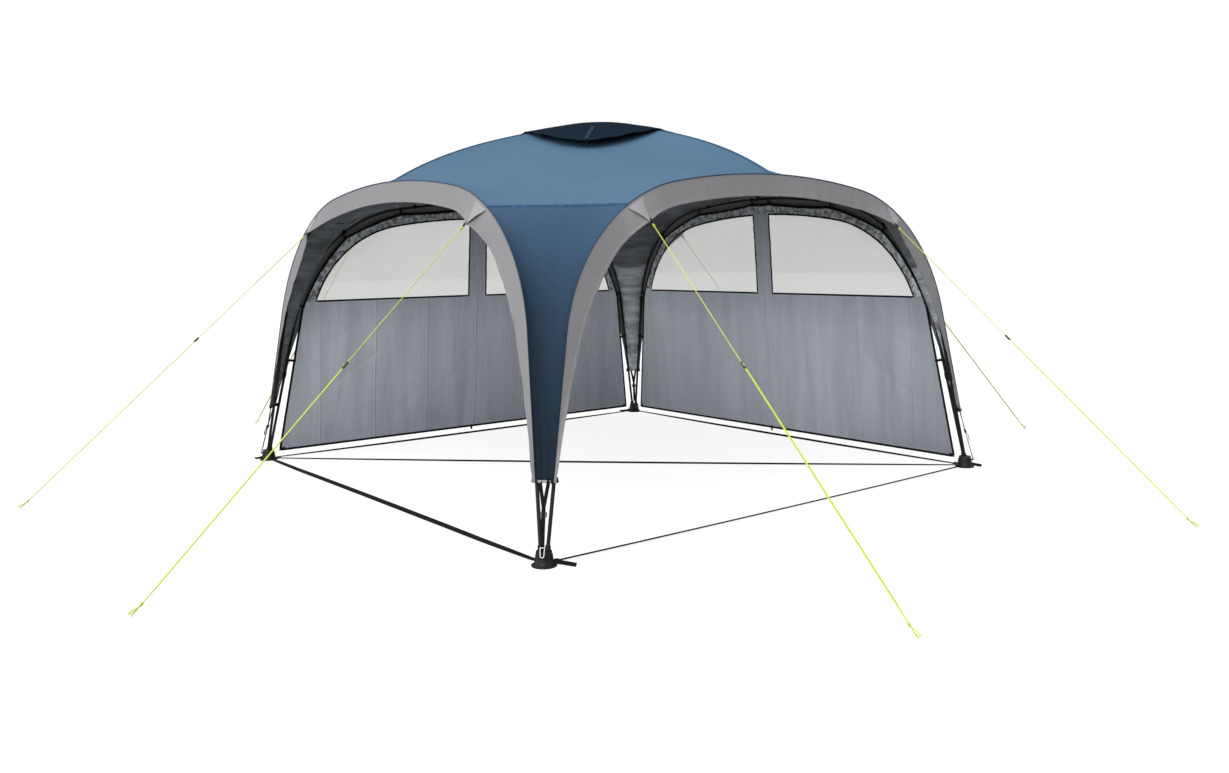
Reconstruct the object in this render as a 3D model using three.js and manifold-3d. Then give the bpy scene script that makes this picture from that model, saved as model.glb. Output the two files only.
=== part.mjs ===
// A free-standing event shelter. Four bent pole arches and two crossing roof poles carry a tensioned roof, whose
// corner panels run down the legs. Two sides have walls with windows, and the other two are open archways.
// Millimetres, +Z up. The origin is on the ground, at the centre of the square that the four feet make.
// The open sides face -Y (front) and -X (left). The walls close +Y (back) and +X (right).
import * as THREE from "three";
import { mergeVertices } from "three/addons/utils/BufferGeometryUtils.js";
import Module from "manifold-3d";

const wasm = await Module();
wasm.setup();
const { degToRad, lerp, smoothstep } = THREE.MathUtils;
const QUARTER_TURN = Math.PI / 2;

// ---- Driving dimensions ----
const FOOT_TO_FOOT = 3500; // between the centres of neighbouring feet
const RIDGE_TOP = 2358; // the roof cloth at the centre of the shelter
const ARCH_TOP = 1896; // the arch's crown, measured up its leaning plane
const ARCH_LEAN = degToRad(5.4); // each arch's plane leans in over the shelter
const LEG_ANGLE = degToRad(78.5); // the straight legs against the ground, in the arch's plane
const LEG_TOP = 1085; // where the straight leg ends and the bent pole starts, up the plane
const SHOULDER_RADIUS = 950;
const LEG_INSET = 1; // from a foot's centre to where its leg's line meets the ground, in along the side
const PLANE_OUTSET = 15; // from a foot's centre out to where the arch's plane meets the ground
const LEG_TUBE_RADIUS = 9.5;
const LEG_TUBE_WALL = 1.3;
const BENT_POLE_RADIUS = 6;
const CLOTH = 2; // thickness of every cloth and film
const SEAM_GAP = 3; // between two pieces of cloth that a seam joins
const HEM_HEIGHT = 386; // lower edge of the corner panels and hoods, up the arch's plane
const PANEL_SEAM_HEIGHT = 1706; // seam between the roof cloth and a corner panel, up the arch's plane
const GUYLINE_RADIUS = 2.25;
const WEBBING = { width: 20, thickness: 2 };

// ---- The arch: a flat crown, two round shoulders and two straight legs, each tangent to the next ----
const legLineX = FOOT_TO_FOOT / 2 - LEG_INSET;
const planeLineY = FOOT_TO_FOOT / 2 + PLANE_OUTSET;
const legTopX = legLineX - LEG_TOP / Math.tan(LEG_ANGLE);
const shoulder = new THREE.Vector2(
  legTopX - SHOULDER_RADIUS * Math.sin(LEG_ANGLE),
  LEG_TOP - SHOULDER_RADIUS * Math.cos(LEG_ANGLE),
);
const shoulderDrop = ARCH_TOP - shoulder.y;
const crownRadius =
  (shoulder.x ** 2 + shoulderDrop ** 2 - SHOULDER_RADIUS ** 2) / (2 * (shoulderDrop - SHOULDER_RADIUS));
const crownAngle = Math.atan2(shoulder.x, crownRadius - shoulderDrop);
const crownRun = crownRadius * crownAngle;
const shoulderRun = crownRun + SHOULDER_RADIUS * (LEG_ANGLE - crownAngle);

// The arch's line at a run along it from the crown: x across, y up the plane, and the direction outwards.
function archAt(run) {
  const length = Math.abs(run);
  const side = run < 0 ? -1 : 1;
  let angle = length / crownRadius;
  let x = crownRadius * Math.sin(angle);
  let y = ARCH_TOP - crownRadius * (1 - Math.cos(angle));
  if (length > crownRun) {
    angle = Math.min(crownAngle + (length - crownRun) / SHOULDER_RADIUS, LEG_ANGLE);
    const down = Math.max(length - shoulderRun, 0);
    x = shoulder.x + SHOULDER_RADIUS * Math.sin(angle) + down * Math.cos(LEG_ANGLE);
    y = shoulder.y + SHOULDER_RADIUS * Math.cos(angle) - down * Math.sin(LEG_ANGLE);
  }
  return { x: side * x, y, outX: side * Math.sin(angle), outY: Math.cos(angle) };
}

// The run at which the arch's line is at a height up its plane, on a shoulder or a leg.
function runAtHeight(height) {
  if (height < LEG_TOP) return shoulderRun + (LEG_TOP - height) / Math.sin(LEG_ANGLE);
  return crownRun + SHOULDER_RADIUS * (Math.acos((height - shoulder.y) / SHOULDER_RADIUS) - crownAngle);
}

// A point of the front arch's plane in the shelter's frame, `out` in front of that plane.
function onArchPlane(x, y, out = 0) {
  return new THREE.Vector3(
    x,
    -planeLineY + y * Math.sin(ARCH_LEAN) - out * Math.cos(ARCH_LEAN),
    y * Math.cos(ARCH_LEAN) + out * Math.sin(ARCH_LEAN),
  );
}

// The ridge over a roof pole: a rounded top, an even slope, and a bend down to the arch at its reach.
const RIDGE = { round: 150, slope: 0.203, reach: 1597, bend: 157 };
function ridgeHeight(distance) {
  const slant = Math.hypot(distance, RIDGE.round) - RIDGE.round;
  return RIDGE_TOP - RIDGE.slope * slant - RIDGE.bend * (distance / RIDGE.reach) ** 4;
}

// ---- Building closed solids ----
const SNAP = 0.01; // outer faces' points are rounded to this, so that the ones that meet are one
const snap = (value) => Math.round(value / SNAP) * SNAP;

// The triangles of a grid of points, given as rows, as one open sheet.
function sheetOf(rows) {
  const points = [];
  for (let i = 1; i < rows.length; i++) {
    for (let j = 1; j < rows[i].length; j++) {
      const [a, b, c, d] = [rows[i - 1][j - 1], rows[i - 1][j], rows[i][j], rows[i][j - 1]];
      points.push(a, b, c, a, c, d);
    }
  }
  return points;
}

// A closed solid whose outer face is a sheet of triangles, and whose inner face lies `thickness` behind it.
function thicken(points, thickness = CLOTH) {
  const raw = new THREE.BufferGeometry();
  const flat = points.flatMap((p) => [snap(p.x), snap(p.y), snap(p.z)]);
  raw.setAttribute("position", new THREE.Float32BufferAttribute(flat, 3));
  const outer = mergeVertices(raw, SNAP / 10);
  outer.computeVertexNormals();
  const position = outer.getAttribute("position");
  const normal = outer.getAttribute("normal");
  const count = position.count;
  const vertices = [...position.array];
  for (let i = 0; i < count; i++) {
    vertices.push(
      position.getX(i) - thickness * normal.getX(i),
      position.getY(i) - thickness * normal.getY(i),
      position.getZ(i) - thickness * normal.getZ(i),
    );
  }
  const faces = [];
  const edges = new Map();
  for (let i = 0; i < outer.index.count; i += 3) {
    const face = [0, 1, 2].map((k) => outer.index.getX(i + k));
    if (new Set(face).size < 3) continue;
    const [a, b, c] = face;
    faces.push(a, b, c, count + a, count + c, count + b);
    for (const [from, to] of [[a, b], [b, c], [c, a]]) {
      if (!edges.delete(`${to} ${from}`)) edges.set(`${from} ${to}`, [from, to]);
    }
  }
  for (const [from, to] of edges.values()) {
    faces.push(to, from, count + from, to, count + from, count + to);
  }
  const solid = new THREE.BufferGeometry();
  solid.setAttribute("position", new THREE.Float32BufferAttribute(vertices, 3));
  return solid.setIndex(faces);
}

function toManifold(geometry) {
  const bare = new THREE.BufferGeometry();
  bare.setAttribute("position", geometry.getAttribute("position"));
  if (geometry.index) bare.setIndex(geometry.index);
  const merged = mergeVertices(bare, 1e-3);
  const vertProperties = new Float32Array(merged.getAttribute("position").array);
  const triVerts = new Uint32Array(merged.index.array);
  return new wasm.Manifold(new wasm.Mesh({ numProp: 3, vertProperties, triVerts }));
}

function fromManifold(body) {
  const { vertProperties, triVerts } = body.getMesh();
  const geometry = new THREE.BufferGeometry();
  geometry.setAttribute("position", new THREE.BufferAttribute(vertProperties, 3));
  return geometry.setIndex(new THREE.BufferAttribute(triVerts, 1));
}

function mesh(name, geometry, material) {
  geometry.deleteAttribute("uv");
  const made = new THREE.Mesh(geometry, material);
  made.name = name;
  return made;
}

function polygon(radius, sides) {
  const corners = Array.from({ length: sides }, (_, i) => (i * 2 * Math.PI) / sides);
  return new THREE.Shape(
    corners.map((angle) => new THREE.Vector2(radius * Math.cos(angle), radius * Math.sin(angle))),
  );
}

// A curve given by a function of 0 to 1.
class Route extends THREE.Curve {
  constructor(pointAt) {
    super();
    this.pointAt = pointAt;
  }
  getPoint(t) {
    return this.pointAt(t);
  }
}

function rod(pointAt, radius, sides, steps) {
  return new THREE.ExtrudeGeometry(polygon(radius, sides), {
    extrudePath: new Route(pointAt),
    steps,
  });
}

// Turns an object so that its own +Z points along a direction.
function aim(object, direction) {
  object.quaternion.setFromUnitVectors(new THREE.Vector3(0, 0, 1), direction.clone().normalize());
  return object;
}

// ---- Materials ----
function surface(color, roughness, metalness = 0) {
  return new THREE.MeshStandardMaterial({ color, roughness, metalness, side: THREE.DoubleSide });
}
const roofBlue = () => surface(0x5f8199, 0.85);
const panelBlue = () => surface(0x2b4159, 0.85);
const capNavy = () => surface(0x2e3b49, 0.85);
const hoodGrey = () => surface(0xa1a2ab, 0.85);
const wallGrey = () => surface(0x8c8f9b, 0.85);
const clearFilm = () => surface(0xc0c2bf, 0.3);
const blackSteel = () => surface(0x292b2d, 0.45, 0.8);
const blackRod = () => surface(0x1e1f20, 0.5);
const footBlack = () => surface(0x1b1c1d, 0.55);
const webbingBlack = () => surface(0x17181a, 0.9);
const lineYellow = () => surface(0xc6dc3a, 0.8);
const runnerGrey = () => surface(0x3a3c38, 0.5);

// ---- Poles ----
const TUBE_SIDES = 12;
const ROD_SIDES = 8;
const ARCH_STEPS = 36;
const ROOF_POLE_STEPS = 26;
const POLE_OVERLAP = 60; // length of bent pole inside the leg tube
const LEG_FOOT_HEIGHT = 14; // lower end of a leg tube, up the plane

// A straight leg tube, open at both ends. `side` is -1 for the leg at -X and 1 for the one at +X.
function legPole(side) {
  const foot = onArchPlane(side * (legLineX - LEG_FOOT_HEIGHT / Math.tan(LEG_ANGLE)), LEG_FOOT_HEIGHT);
  const top = onArchPlane(side * legTopX, LEG_TOP);
  const ring = polygon(LEG_TUBE_RADIUS, TUBE_SIDES);
  ring.holes.push(polygon(LEG_TUBE_RADIUS - LEG_TUBE_WALL, TUBE_SIDES));
  const length = foot.distanceTo(top);
  const tube = mesh("", new THREE.ExtrudeGeometry(ring, { depth: length, bevelEnabled: false }), blackSteel());
  tube.position.copy(foot);
  return aim(tube, top.sub(foot));
}

// The bent pole over an archway, pushed into the tops of its two legs.
function archPole() {
  const end = shoulderRun + POLE_OVERLAP;
  const pointAt = (t) => {
    const at = archAt(lerp(-end, end, t));
    return onArchPlane(at.x, at.y);
  };
  return rod(pointAt, BENT_POLE_RADIUS, ROD_SIDES, ARCH_STEPS);
}

// A roof pole from arch to arch under the ridge. One of the two dips under the other where they cross.
const ROOF_POLE_DROP = 15; // from the roof cloth to the pole's axis
const ROOF_POLE_END = 1560; // from the centre to the pole's end
const CROSSING_GAP = 1; // between the two poles where they cross
const CROSSING_DIP_LENGTH = 200;
function roofPole(dip) {
  const pointAt = (t) => {
    const distance = lerp(-ROOF_POLE_END, ROOF_POLE_END, t);
    const under = dip * Math.exp(-((distance / CROSSING_DIP_LENGTH) ** 2));
    return new THREE.Vector3(distance, 0, ridgeHeight(distance) - ROOF_POLE_DROP - under);
  };
  return rod(pointAt, BENT_POLE_RADIUS, ROD_SIDES, ROOF_POLE_STEPS);
}

// ---- Cloth of one corner, from the centre of the roof down to the hem ----
const SEAM_ABOVE_POLE = 20;
const SEAM_BEFORE_POLE = 20;
const COLUMNS = 8; // across a corner, from arch to arch
const ROOF_ROWS = 7; // from the centre to the crowns of the arches
const SHOULDER_ROWS = 8; // from the crowns to the seam of the corner panel
const PANEL_ROWS = 9; // from that seam to the hem
const RELAX_PASSES = 400;
const panelSeamRun = runAtHeight(PANEL_SEAM_HEIGHT);
const hemRun = runAtHeight(HEM_HEIGHT);

// Runs along the arch, from the crown to the hem, at which both the corner cloth and the hood have a row.
const seamRuns = [
  ...Array.from({ length: SHOULDER_ROWS }, (_, i) => (panelSeamRun * i) / SHOULDER_ROWS),
  ...Array.from({ length: PANEL_ROWS + 1 }, (_, i) => lerp(panelSeamRun, hemRun, i / PANEL_ROWS)),
];

// A point of the seam over the front arch, where roof cloth, corner panel and hood meet.
function seamAt(run) {
  const at = archAt(run);
  return onArchPlane(
    at.x + SEAM_ABOVE_POLE * at.outX,
    at.y + SEAM_ABOVE_POLE * at.outY,
    SEAM_BEFORE_POLE,
  );
}

// The end, on the front side, of each row of cloth across the front left corner.
function rowEnds() {
  const ends = [];
  const crown = seamAt(0);
  for (let i = 0; i < ROOF_ROWS; i++) {
    const distance = (-crown.y * i) / ROOF_ROWS;
    ends.push(new THREE.Vector3(0, -distance, ridgeHeight(distance)));
  }
  return ends.concat(seamRuns.map((run) => seamAt(-run)));
}

// The cloth is under even tension, so each free point comes to rest at the mean of its four neighbours.
// The seam above the corner panel is cut and sewn to be level.
const seamRow = ROOF_ROWS + SHOULDER_ROWS;
function tensionedCorner() {
  const rows = rowEnds().map((end) => {
    const mirrored = new THREE.Vector3(end.y, end.x, end.z);
    return Array.from({ length: COLUMNS + 1 }, (_, j) => mirrored.clone().lerp(end, j / COLUMNS));
  });
  for (let pass = 0; pass < RELAX_PASSES; pass++) {
    for (let i = 1; i < rows.length - 1; i++) {
      for (let j = 1; j < COLUMNS; j++) {
        rows[i][j]
          .copy(rows[i - 1][j])
          .add(rows[i + 1][j])
          .add(rows[i][j - 1])
          .add(rows[i][j + 1])
          .divideScalar(4);
        if (i === seamRow) rows[i][j].z = rows[i][0].z;
      }
    }
  }
  return rows;
}

const cornerRows = tensionedCorner();

function roofCanopy() {
  const quarter = sheetOf(cornerRows.slice(0, seamRow + 1));
  const zAxis = new THREE.Vector3(0, 0, 1);
  const turned = [0, 1, 2, 3].flatMap((turn) =>
    quarter.map((point) => point.clone().applyAxisAngle(zAxis, turn * QUARTER_TURN)),
  );
  return thicken(turned);
}

// A corner panel of the front left corner, with its Y-shaped tension strap sewn to the hem.
function legPanel() {
  const rows = cornerRows.slice(seamRow).map((row) => row.map((point) => point.clone()));
  rows[0].forEach((point, j) => {
    const below = rows[1][j];
    point.lerp(below, SEAM_GAP / point.distanceTo(below));
  });
  const strap = toManifold(tensionStrap());
  return fromManifold(toManifold(thicken(sheetOf(rows))).add(strap));
}

// ---- The strap that pulls a corner panel down to its foot ----
const STRAP = { bottomOut: 2528, bottomZ: 56, fork: 215, armOffset: 24, sewn: 12 };
const hemMiddle = cornerRows.at(-1)[COLUMNS / 2];
const cornerOut = new THREE.Vector3(-1, -1, 0).normalize(); // from the centre to the front left corner
const cornerAcross = new THREE.Vector3(1, -1, 0).normalize();
const strapLow = cornerOut.clone().multiplyScalar(STRAP.bottomOut).setZ(STRAP.bottomZ);

// The strap's own frame: X across the corner, Y up the strap, Z out from the shelter, zero at its lower end.
function strapFrame() {
  const up = hemMiddle.clone().sub(strapLow).normalize();
  const out = cornerAcross.clone().cross(up).normalize();
  return new THREE.Matrix4().makeBasis(cornerAcross, up, out).setPosition(strapLow);
}

function tensionStrap() {
  const half = WEBBING.width / 2;
  const arm = STRAP.armOffset;
  const top = hemMiddle.distanceTo(strapLow) + STRAP.sewn;
  const outline = [
    [-half, 0],
    [half, 0],
    [half, STRAP.fork],
    [arm + half, top],
    [arm - half, top],
    [0, STRAP.fork + 2 * half],
    [half - arm, top],
    [-arm - half, top],
    [-half, STRAP.fork],
  ];
  const shape = new THREE.Shape(outline.map(([x, y]) => new THREE.Vector2(x, y)));
  const strap = new THREE.ExtrudeGeometry(shape, { depth: WEBBING.thickness, bevelEnabled: false });
  strap.translate(0, 0, -WEBBING.thickness / 2);
  return strap.applyMatrix4(strapFrame());
}

// The buckle rides on the single lower length of the strap, which runs through its slot.
const BUCKLE = { width: 34, depth: 9, height: 24, clearance: 1, belowFork: 6 };
function buckle() {
  const frame = rectangle(BUCKLE.width, BUCKLE.depth);
  const slot = rectangle(
    WEBBING.width + 2 * BUCKLE.clearance,
    WEBBING.thickness + 2 * BUCKLE.clearance,
  );
  frame.holes.push(slot);
  const body = new THREE.ExtrudeGeometry(frame, { depth: BUCKLE.height, bevelEnabled: false });
  body.rotateX(-QUARTER_TURN);
  body.translate(0, STRAP.fork - BUCKLE.belowFork - BUCKLE.height, 0);
  return body.applyMatrix4(strapFrame());
}

function rectangle(width, height) {
  return new THREE.Shape([
    new THREE.Vector2(-width / 2, -height / 2),
    new THREE.Vector2(width / 2, -height / 2),
    new THREE.Vector2(width / 2, height / 2),
    new THREE.Vector2(-width / 2, height / 2),
  ]);
}

// ---- Hood: a band of cloth that hangs from the arch's seam over the archway ----
const HOOD = { crownWidth: 126, fullHeight: 1500, legWidth: 16, out: 10, guyOut: 56, guySpread: 170 };
const HOOD_BANDS = 2;
const GUY_ABOVE_SEAM = 25; // from the corner panel's seam up to the guylines, along the arch
const guyRun = panelSeamRun - GUY_ABOVE_SEAM;

// A point of the hood, `across` 0 at the seam and 1 at the free edge, which the guylines pull outwards.
function hoodAt(run, across) {
  const at = archAt(run);
  const breadth = lerp(HOOD.legWidth, HOOD.crownWidth, smoothstep(at.y, HEM_HEIGHT, HOOD.fullHeight));
  const pull = Math.exp(-(((Math.abs(run) - guyRun) / HOOD.guySpread) ** 2));
  const above = lerp(SEAM_ABOVE_POLE - SEAM_GAP, SEAM_ABOVE_POLE - breadth, across);
  const before = SEAM_BEFORE_POLE + across * (HOOD.out + HOOD.guyOut * pull);
  return onArchPlane(at.x + above * at.outX, at.y + above * at.outY, before);
}

function hood() {
  const runs = [...seamRuns].reverse().concat(seamRuns.slice(1).map((run) => -run));
  const rows = Array.from({ length: HOOD_BANDS + 1 }, (_, i) =>
    runs.map((run) => hoodAt(run, i / HOOD_BANDS)),
  );
  return thicken(sheetOf(rows));
}

// ---- Vent cap: a square of cloth with round corners over the centre of the roof, lifted at the corners to let air out.
// Its outline is the curve |x|^p + |y|^p = half^p, where p is `squareness`. ----
const CAP = { half: 620, squareness: 5, lift: 12, cornerLift: 30, rings: 5, sectors: 24 };
function ventCap() {
  const centre = new THREE.Vector3(0, 0, RIDGE_TOP + CAP.lift);
  const rows = Array.from({ length: CAP.rings + 1 }, (_, i) =>
    Array.from({ length: CAP.sectors + 1 }, (_, j) => {
      const angle = (-j * 2 * Math.PI) / CAP.sectors;
      const [c, s] = [Math.abs(Math.cos(angle)), Math.abs(Math.sin(angle))];
      const outline = CAP.half / (c ** CAP.squareness + s ** CAP.squareness) ** (1 / CAP.squareness);
      const reach = (i / CAP.rings) * outline;
      const [x, y] = [reach * Math.cos(angle), reach * Math.sin(angle)];
      const lift = CAP.lift + (CAP.cornerLift * Math.abs(x * y)) / CAP.half ** 2;
      return i ? new THREE.Vector3(x, y, ridgeHeight(Math.abs(x) + Math.abs(y)) + lift) : centre;
    }),
  );
  return thicken(sheetOf(rows));
}

// ---- Walls and windows, flat in the arch's plane ----
const WALL = { inset: 40, bottom: 60, bottomHalf: 1659 };
const WINDOW = { inset: 120, bottom: 1155, inner: 80, clearance: 0.5 };
const ARC_SEGMENTS = 7;

// Points along the arch's line moved inwards by `inset`, from a height on its +X side over to an x on its crown.
function archLine(inset, startHeight, endX) {
  const reach = crownRadius - inset;
  const line = new THREE.Path();
  const start = Math.asin((startHeight - shoulder.y) / (SHOULDER_RADIUS - inset));
  const join = QUARTER_TURN - crownAngle;
  line.absarc(shoulder.x, shoulder.y, SHOULDER_RADIUS - inset, start, join, false);
  line.absarc(0, ARCH_TOP - crownRadius, reach, join, Math.acos(endX / reach), false);
  return withoutRepeats(line.getPoints(ARC_SEGMENTS));
}

function withoutRepeats(points) {
  return points.filter((point, i) => i === 0 || point.distanceTo(points[i - 1]) > SNAP);
}

const mirrored = (points) => points.map((point) => new THREE.Vector2(-point.x, point.y)).reverse();

// The outline of the window on the +X half of a wall, made smaller all round by `clearance`.
function windowOutline(clearance) {
  const low = WINDOW.bottom + clearance;
  const inner = WINDOW.inner + clearance;
  return [new THREE.Vector2(inner, low), ...archLine(WINDOW.inset + clearance, low, inner)];
}

function flatCloth(points, thickness = CLOTH) {
  const sheet = new THREE.ExtrudeGeometry(new THREE.Shape(points), { depth: thickness, bevelEnabled: false });
  sheet.translate(0, 0, -thickness / 2);
  const across = new THREE.Vector3(1, 0, 0);
  const up = new THREE.Vector3(0, Math.sin(ARCH_LEAN), Math.cos(ARCH_LEAN));
  const out = across.clone().cross(up);
  return sheet.applyMatrix4(new THREE.Matrix4().makeBasis(across, up, out).setPosition(0, -planeLineY, 0));
}

function wall() {
  const half = archLine(WALL.inset, LEG_TOP, 0);
  const outline = [
    new THREE.Vector2(-WALL.bottomHalf, WALL.bottom),
    new THREE.Vector2(WALL.bottomHalf, WALL.bottom),
    ...half,
    ...mirrored(half).slice(1),
  ];
  const hole = windowOutline(0);
  let body = toManifold(flatCloth(outline));
  for (const points of [hole, mirrored(hole)]) {
    body = body.subtract(toManifold(flatCloth(points, 2 * CLOTH)));
  }
  return fromManifold(body);
}

function windowFilm(side) {
  const points = windowOutline(WINDOW.clearance);
  return flatCloth(side > 0 ? points : mirrored(points));
}

// ---- Feet ----
const FOOT = { flangeRadius: 62, flangeHeight: 8, coneBottom: 10, coneRadius: 46, topRadius: 37, height: 75 };
const FOOT_SEGMENTS = 24;
const SOCKET = { clearance: 0.8, bottom: 12, top: 110, segments: 16 };
const LUG = { width: 26, depth: 24, height: 8, outwards: 44, z: 50 }; // the hook's lug, on the front of the cone

function footSolid() {
  const profile = [
    [0, 0],
    [FOOT.flangeRadius, 0],
    [FOOT.flangeRadius, FOOT.flangeHeight],
    [FOOT.coneRadius, FOOT.coneBottom],
    [FOOT.topRadius, FOOT.height],
    [0, FOOT.height],
  ];
  const turned = new THREE.LatheGeometry(
    profile.map(([x, y]) => new THREE.Vector2(x, y)),
    FOOT_SEGMENTS,
  );
  turned.rotateX(QUARTER_TURN);
  const centre = -FOOT_TO_FOOT / 2;
  turned.translate(centre, centre, 0);
  let body = toManifold(turned);
  const lug = new THREE.BoxGeometry(LUG.width, LUG.depth, LUG.height);
  lug.rotateZ(-QUARTER_TURN / 2);
  const reach = LUG.outwards * Math.SQRT1_2;
  lug.translate(centre - reach, centre - reach, LUG.z);
  body = body.add(toManifold(lug));
  for (const swap of [false, true]) body = body.subtract(toManifold(socket(swap)));
  return fromManifold(body);
}

// The bore that a leg tube stands in: the front arch's left leg, or with `swap` the left arch's one.
function socket(swap) {
  const ends = [SOCKET.bottom, SOCKET.top].map((height) => {
    const point = onArchPlane(-(legLineX - height / Math.tan(LEG_ANGLE)), height);
    return swap ? new THREE.Vector3(point.y, point.x, point.z) : point;
  });
  const length = ends[0].distanceTo(ends[1]);
  const radius = LEG_TUBE_RADIUS + SOCKET.clearance;
  const bore = new THREE.CylinderGeometry(radius, radius, length, SOCKET.segments);
  bore.rotateX(QUARTER_TURN);
  const holder = aim(new THREE.Object3D(), ends[1].clone().sub(ends[0]));
  holder.position.copy(ends[0]).lerp(ends[1], 0.5);
  holder.updateMatrix();
  return bore.applyMatrix4(holder.matrix);
}

// ---- Ground straps, lying just over the feet's flanges ----
const GROUND_STRAP = { width: 25, thickness: 2, height: 12, fromFoot: 47 };
function groundStrap(span) {
  const length = span - 2 * GROUND_STRAP.fromFoot;
  return new THREE.BoxGeometry(length, GROUND_STRAP.width, GROUND_STRAP.thickness);
}

// ---- Guylines and their runners ----
const GUY_GROUND = { x: 1225, y: -3450, z: 3 };
const GUY_LOOP = 20; // from the hood's edge to the upper end of the line
const RUNNER = { width: 16, depth: 9, length: 42, bore: 3.4, place: 0.4 }; // bore: a radius. place: along the line

function guylineEnds(side) {
  const edge = hoodAt(side * guyRun, 1);
  const ground = new THREE.Vector3(side * GUY_GROUND.x, GUY_GROUND.y, GUY_GROUND.z);
  const along = ground.clone().sub(edge).normalize();
  return [edge.addScaledVector(along, GUY_LOOP), ground];
}

function guyline(side) {
  const [top, ground] = guylineEnds(side);
  return rod((t) => top.clone().lerp(ground, t), GUYLINE_RADIUS, ROD_SIDES, 1);
}

function runner(side) {
  const [top, ground] = guylineEnds(side);
  const plate = rectangle(RUNNER.width, RUNNER.depth);
  plate.holes.push(polygon(RUNNER.bore, TUBE_SIDES));
  const body = new THREE.ExtrudeGeometry(plate, { depth: RUNNER.length, bevelEnabled: false });
  const placed = mesh("", body, runnerGrey());
  placed.position.copy(top).lerp(ground, RUNNER.place);
  return aim(placed, ground.clone().sub(top));
}

// ---- Assembly ----
const shelter = new THREE.Group();
const sides = ["front", "right", "back", "left"];
const corners = ["front_left", "front_right", "back_right", "back_left"];

// Each side is the front one turned about Z. A side's left end, seen from outside, is the corner of its own number.
sides.forEach((side, i) => {
  const group = new THREE.Group();
  group.rotation.z = i * QUARTER_TURN;
  const before = sides[(i + 3) % 4];
  const after = sides[(i + 1) % 4];
  const endNames = { [-1]: before, 1: after };
  group.add(mesh(`arch_pole_${side}`, archPole(), blackRod()));
  group.add(mesh(`hood_${side}`, hood(), hoodGrey()));
  for (const end of [-1, 1]) {
    const leg = legPole(end);
    leg.name = `leg_pole_${corners[(i + (end > 0 ? 1 : 0)) % 4]}_on_${side}`;
    group.add(leg);
    group.add(mesh(`guyline_${side}_${endNames[end]}`, guyline(end), lineYellow()));
    const slider = runner(end);
    slider.name = `runner_${side}_${endNames[end]}`;
    group.add(slider);
  }
  if (side === "right" || side === "back") {
    group.add(mesh(`wall_${side}`, wall(), wallGrey()));
    for (const end of [-1, 1]) {
      group.add(mesh(`window_${side}_${endNames[end]}`, windowFilm(end), clearFilm()));
    }
  }
  const strap = mesh(`ground_strap_${side}`, groundStrap(FOOT_TO_FOOT), webbingBlack());
  strap.position.set(0, -FOOT_TO_FOOT / 2, GROUND_STRAP.height);
  group.add(strap);
  shelter.add(group);
});

corners.forEach((corner, i) => {
  const group = new THREE.Group();
  group.rotation.z = i * QUARTER_TURN;
  group.add(mesh(`foot_${corner}`, footSolid(), footBlack()));
  group.add(mesh(`leg_panel_${corner}`, legPanel(), panelBlue()));
  group.add(mesh(`strap_buckle_${corner}`, buckle(), footBlack()));
  shelter.add(group);
});

const diagonal = mesh("ground_strap_diagonal", groundStrap(FOOT_TO_FOOT * Math.SQRT2), webbingBlack());
diagonal.rotation.z = -QUARTER_TURN / 2;
diagonal.position.z = GROUND_STRAP.height;
shelter.add(diagonal);

const frontToBack = mesh("roof_pole_front_to_back", roofPole(2 * BENT_POLE_RADIUS + CROSSING_GAP), blackRod());
frontToBack.rotation.z = QUARTER_TURN;
shelter.add(frontToBack);
shelter.add(mesh("roof_pole_left_to_right", roofPole(0), blackRod()));
shelter.add(mesh("roof_canopy", roofCanopy(), roofBlue()));
shelter.add(mesh("vent_cap", ventCap(), capNavy()));

export default shelter;
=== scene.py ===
import math

import bmesh
import bpy
import numpy as np
from mathutils import Matrix, Vector
from mathutils.geometry import delaunay_2d_cdt


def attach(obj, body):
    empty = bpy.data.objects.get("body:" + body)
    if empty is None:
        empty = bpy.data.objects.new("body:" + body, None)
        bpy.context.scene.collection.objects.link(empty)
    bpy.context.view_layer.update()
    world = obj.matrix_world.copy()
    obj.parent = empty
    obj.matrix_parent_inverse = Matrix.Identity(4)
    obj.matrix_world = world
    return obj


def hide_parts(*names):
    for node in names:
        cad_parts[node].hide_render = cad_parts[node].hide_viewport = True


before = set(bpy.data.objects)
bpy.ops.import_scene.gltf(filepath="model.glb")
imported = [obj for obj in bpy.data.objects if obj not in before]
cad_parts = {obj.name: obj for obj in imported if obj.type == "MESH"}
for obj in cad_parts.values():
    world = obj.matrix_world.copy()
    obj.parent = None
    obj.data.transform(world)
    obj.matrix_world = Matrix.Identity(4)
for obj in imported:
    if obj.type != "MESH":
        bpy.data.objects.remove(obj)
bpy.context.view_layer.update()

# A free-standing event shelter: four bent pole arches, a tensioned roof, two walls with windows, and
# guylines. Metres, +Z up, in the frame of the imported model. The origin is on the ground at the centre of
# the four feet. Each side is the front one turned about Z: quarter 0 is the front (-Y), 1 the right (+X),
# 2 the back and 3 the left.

# ---- Driving dimensions, the same as the frame's ----
FOOT_TO_FOOT = 3.5
HALF = FOOT_TO_FOOT / 2
RIDGE_TOP = 2.358
RIDGE_ROUND = 0.150  # the ridge is rounded over this at the centre
RIDGE_SLOPE = 0.203
RIDGE_END = 1.597  # close to a crown, from the centre
RIDGE_DROOP = 0.157  # how far it has bent below its slope there
ARCH_TOP = 1.896
ARCH_LEAN = math.radians(5.4)
LEG_ANGLE = math.radians(78.5)
LEG_TOP = 1.085
SHOULDER_RADIUS = 0.95
LEG_LINE = 1.749  # where a leg's line meets the ground, from the centre
PLANE_LINE = 1.765  # where an arch's plane meets the ground
LEG_TUBE_RADIUS = 0.0095
BENT_POLE_RADIUS = 0.006
SEAM_OFFSET = 0.020  # of the arch's seam, out from the pole and in front of it
SEAM_GAP = 0.003
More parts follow.
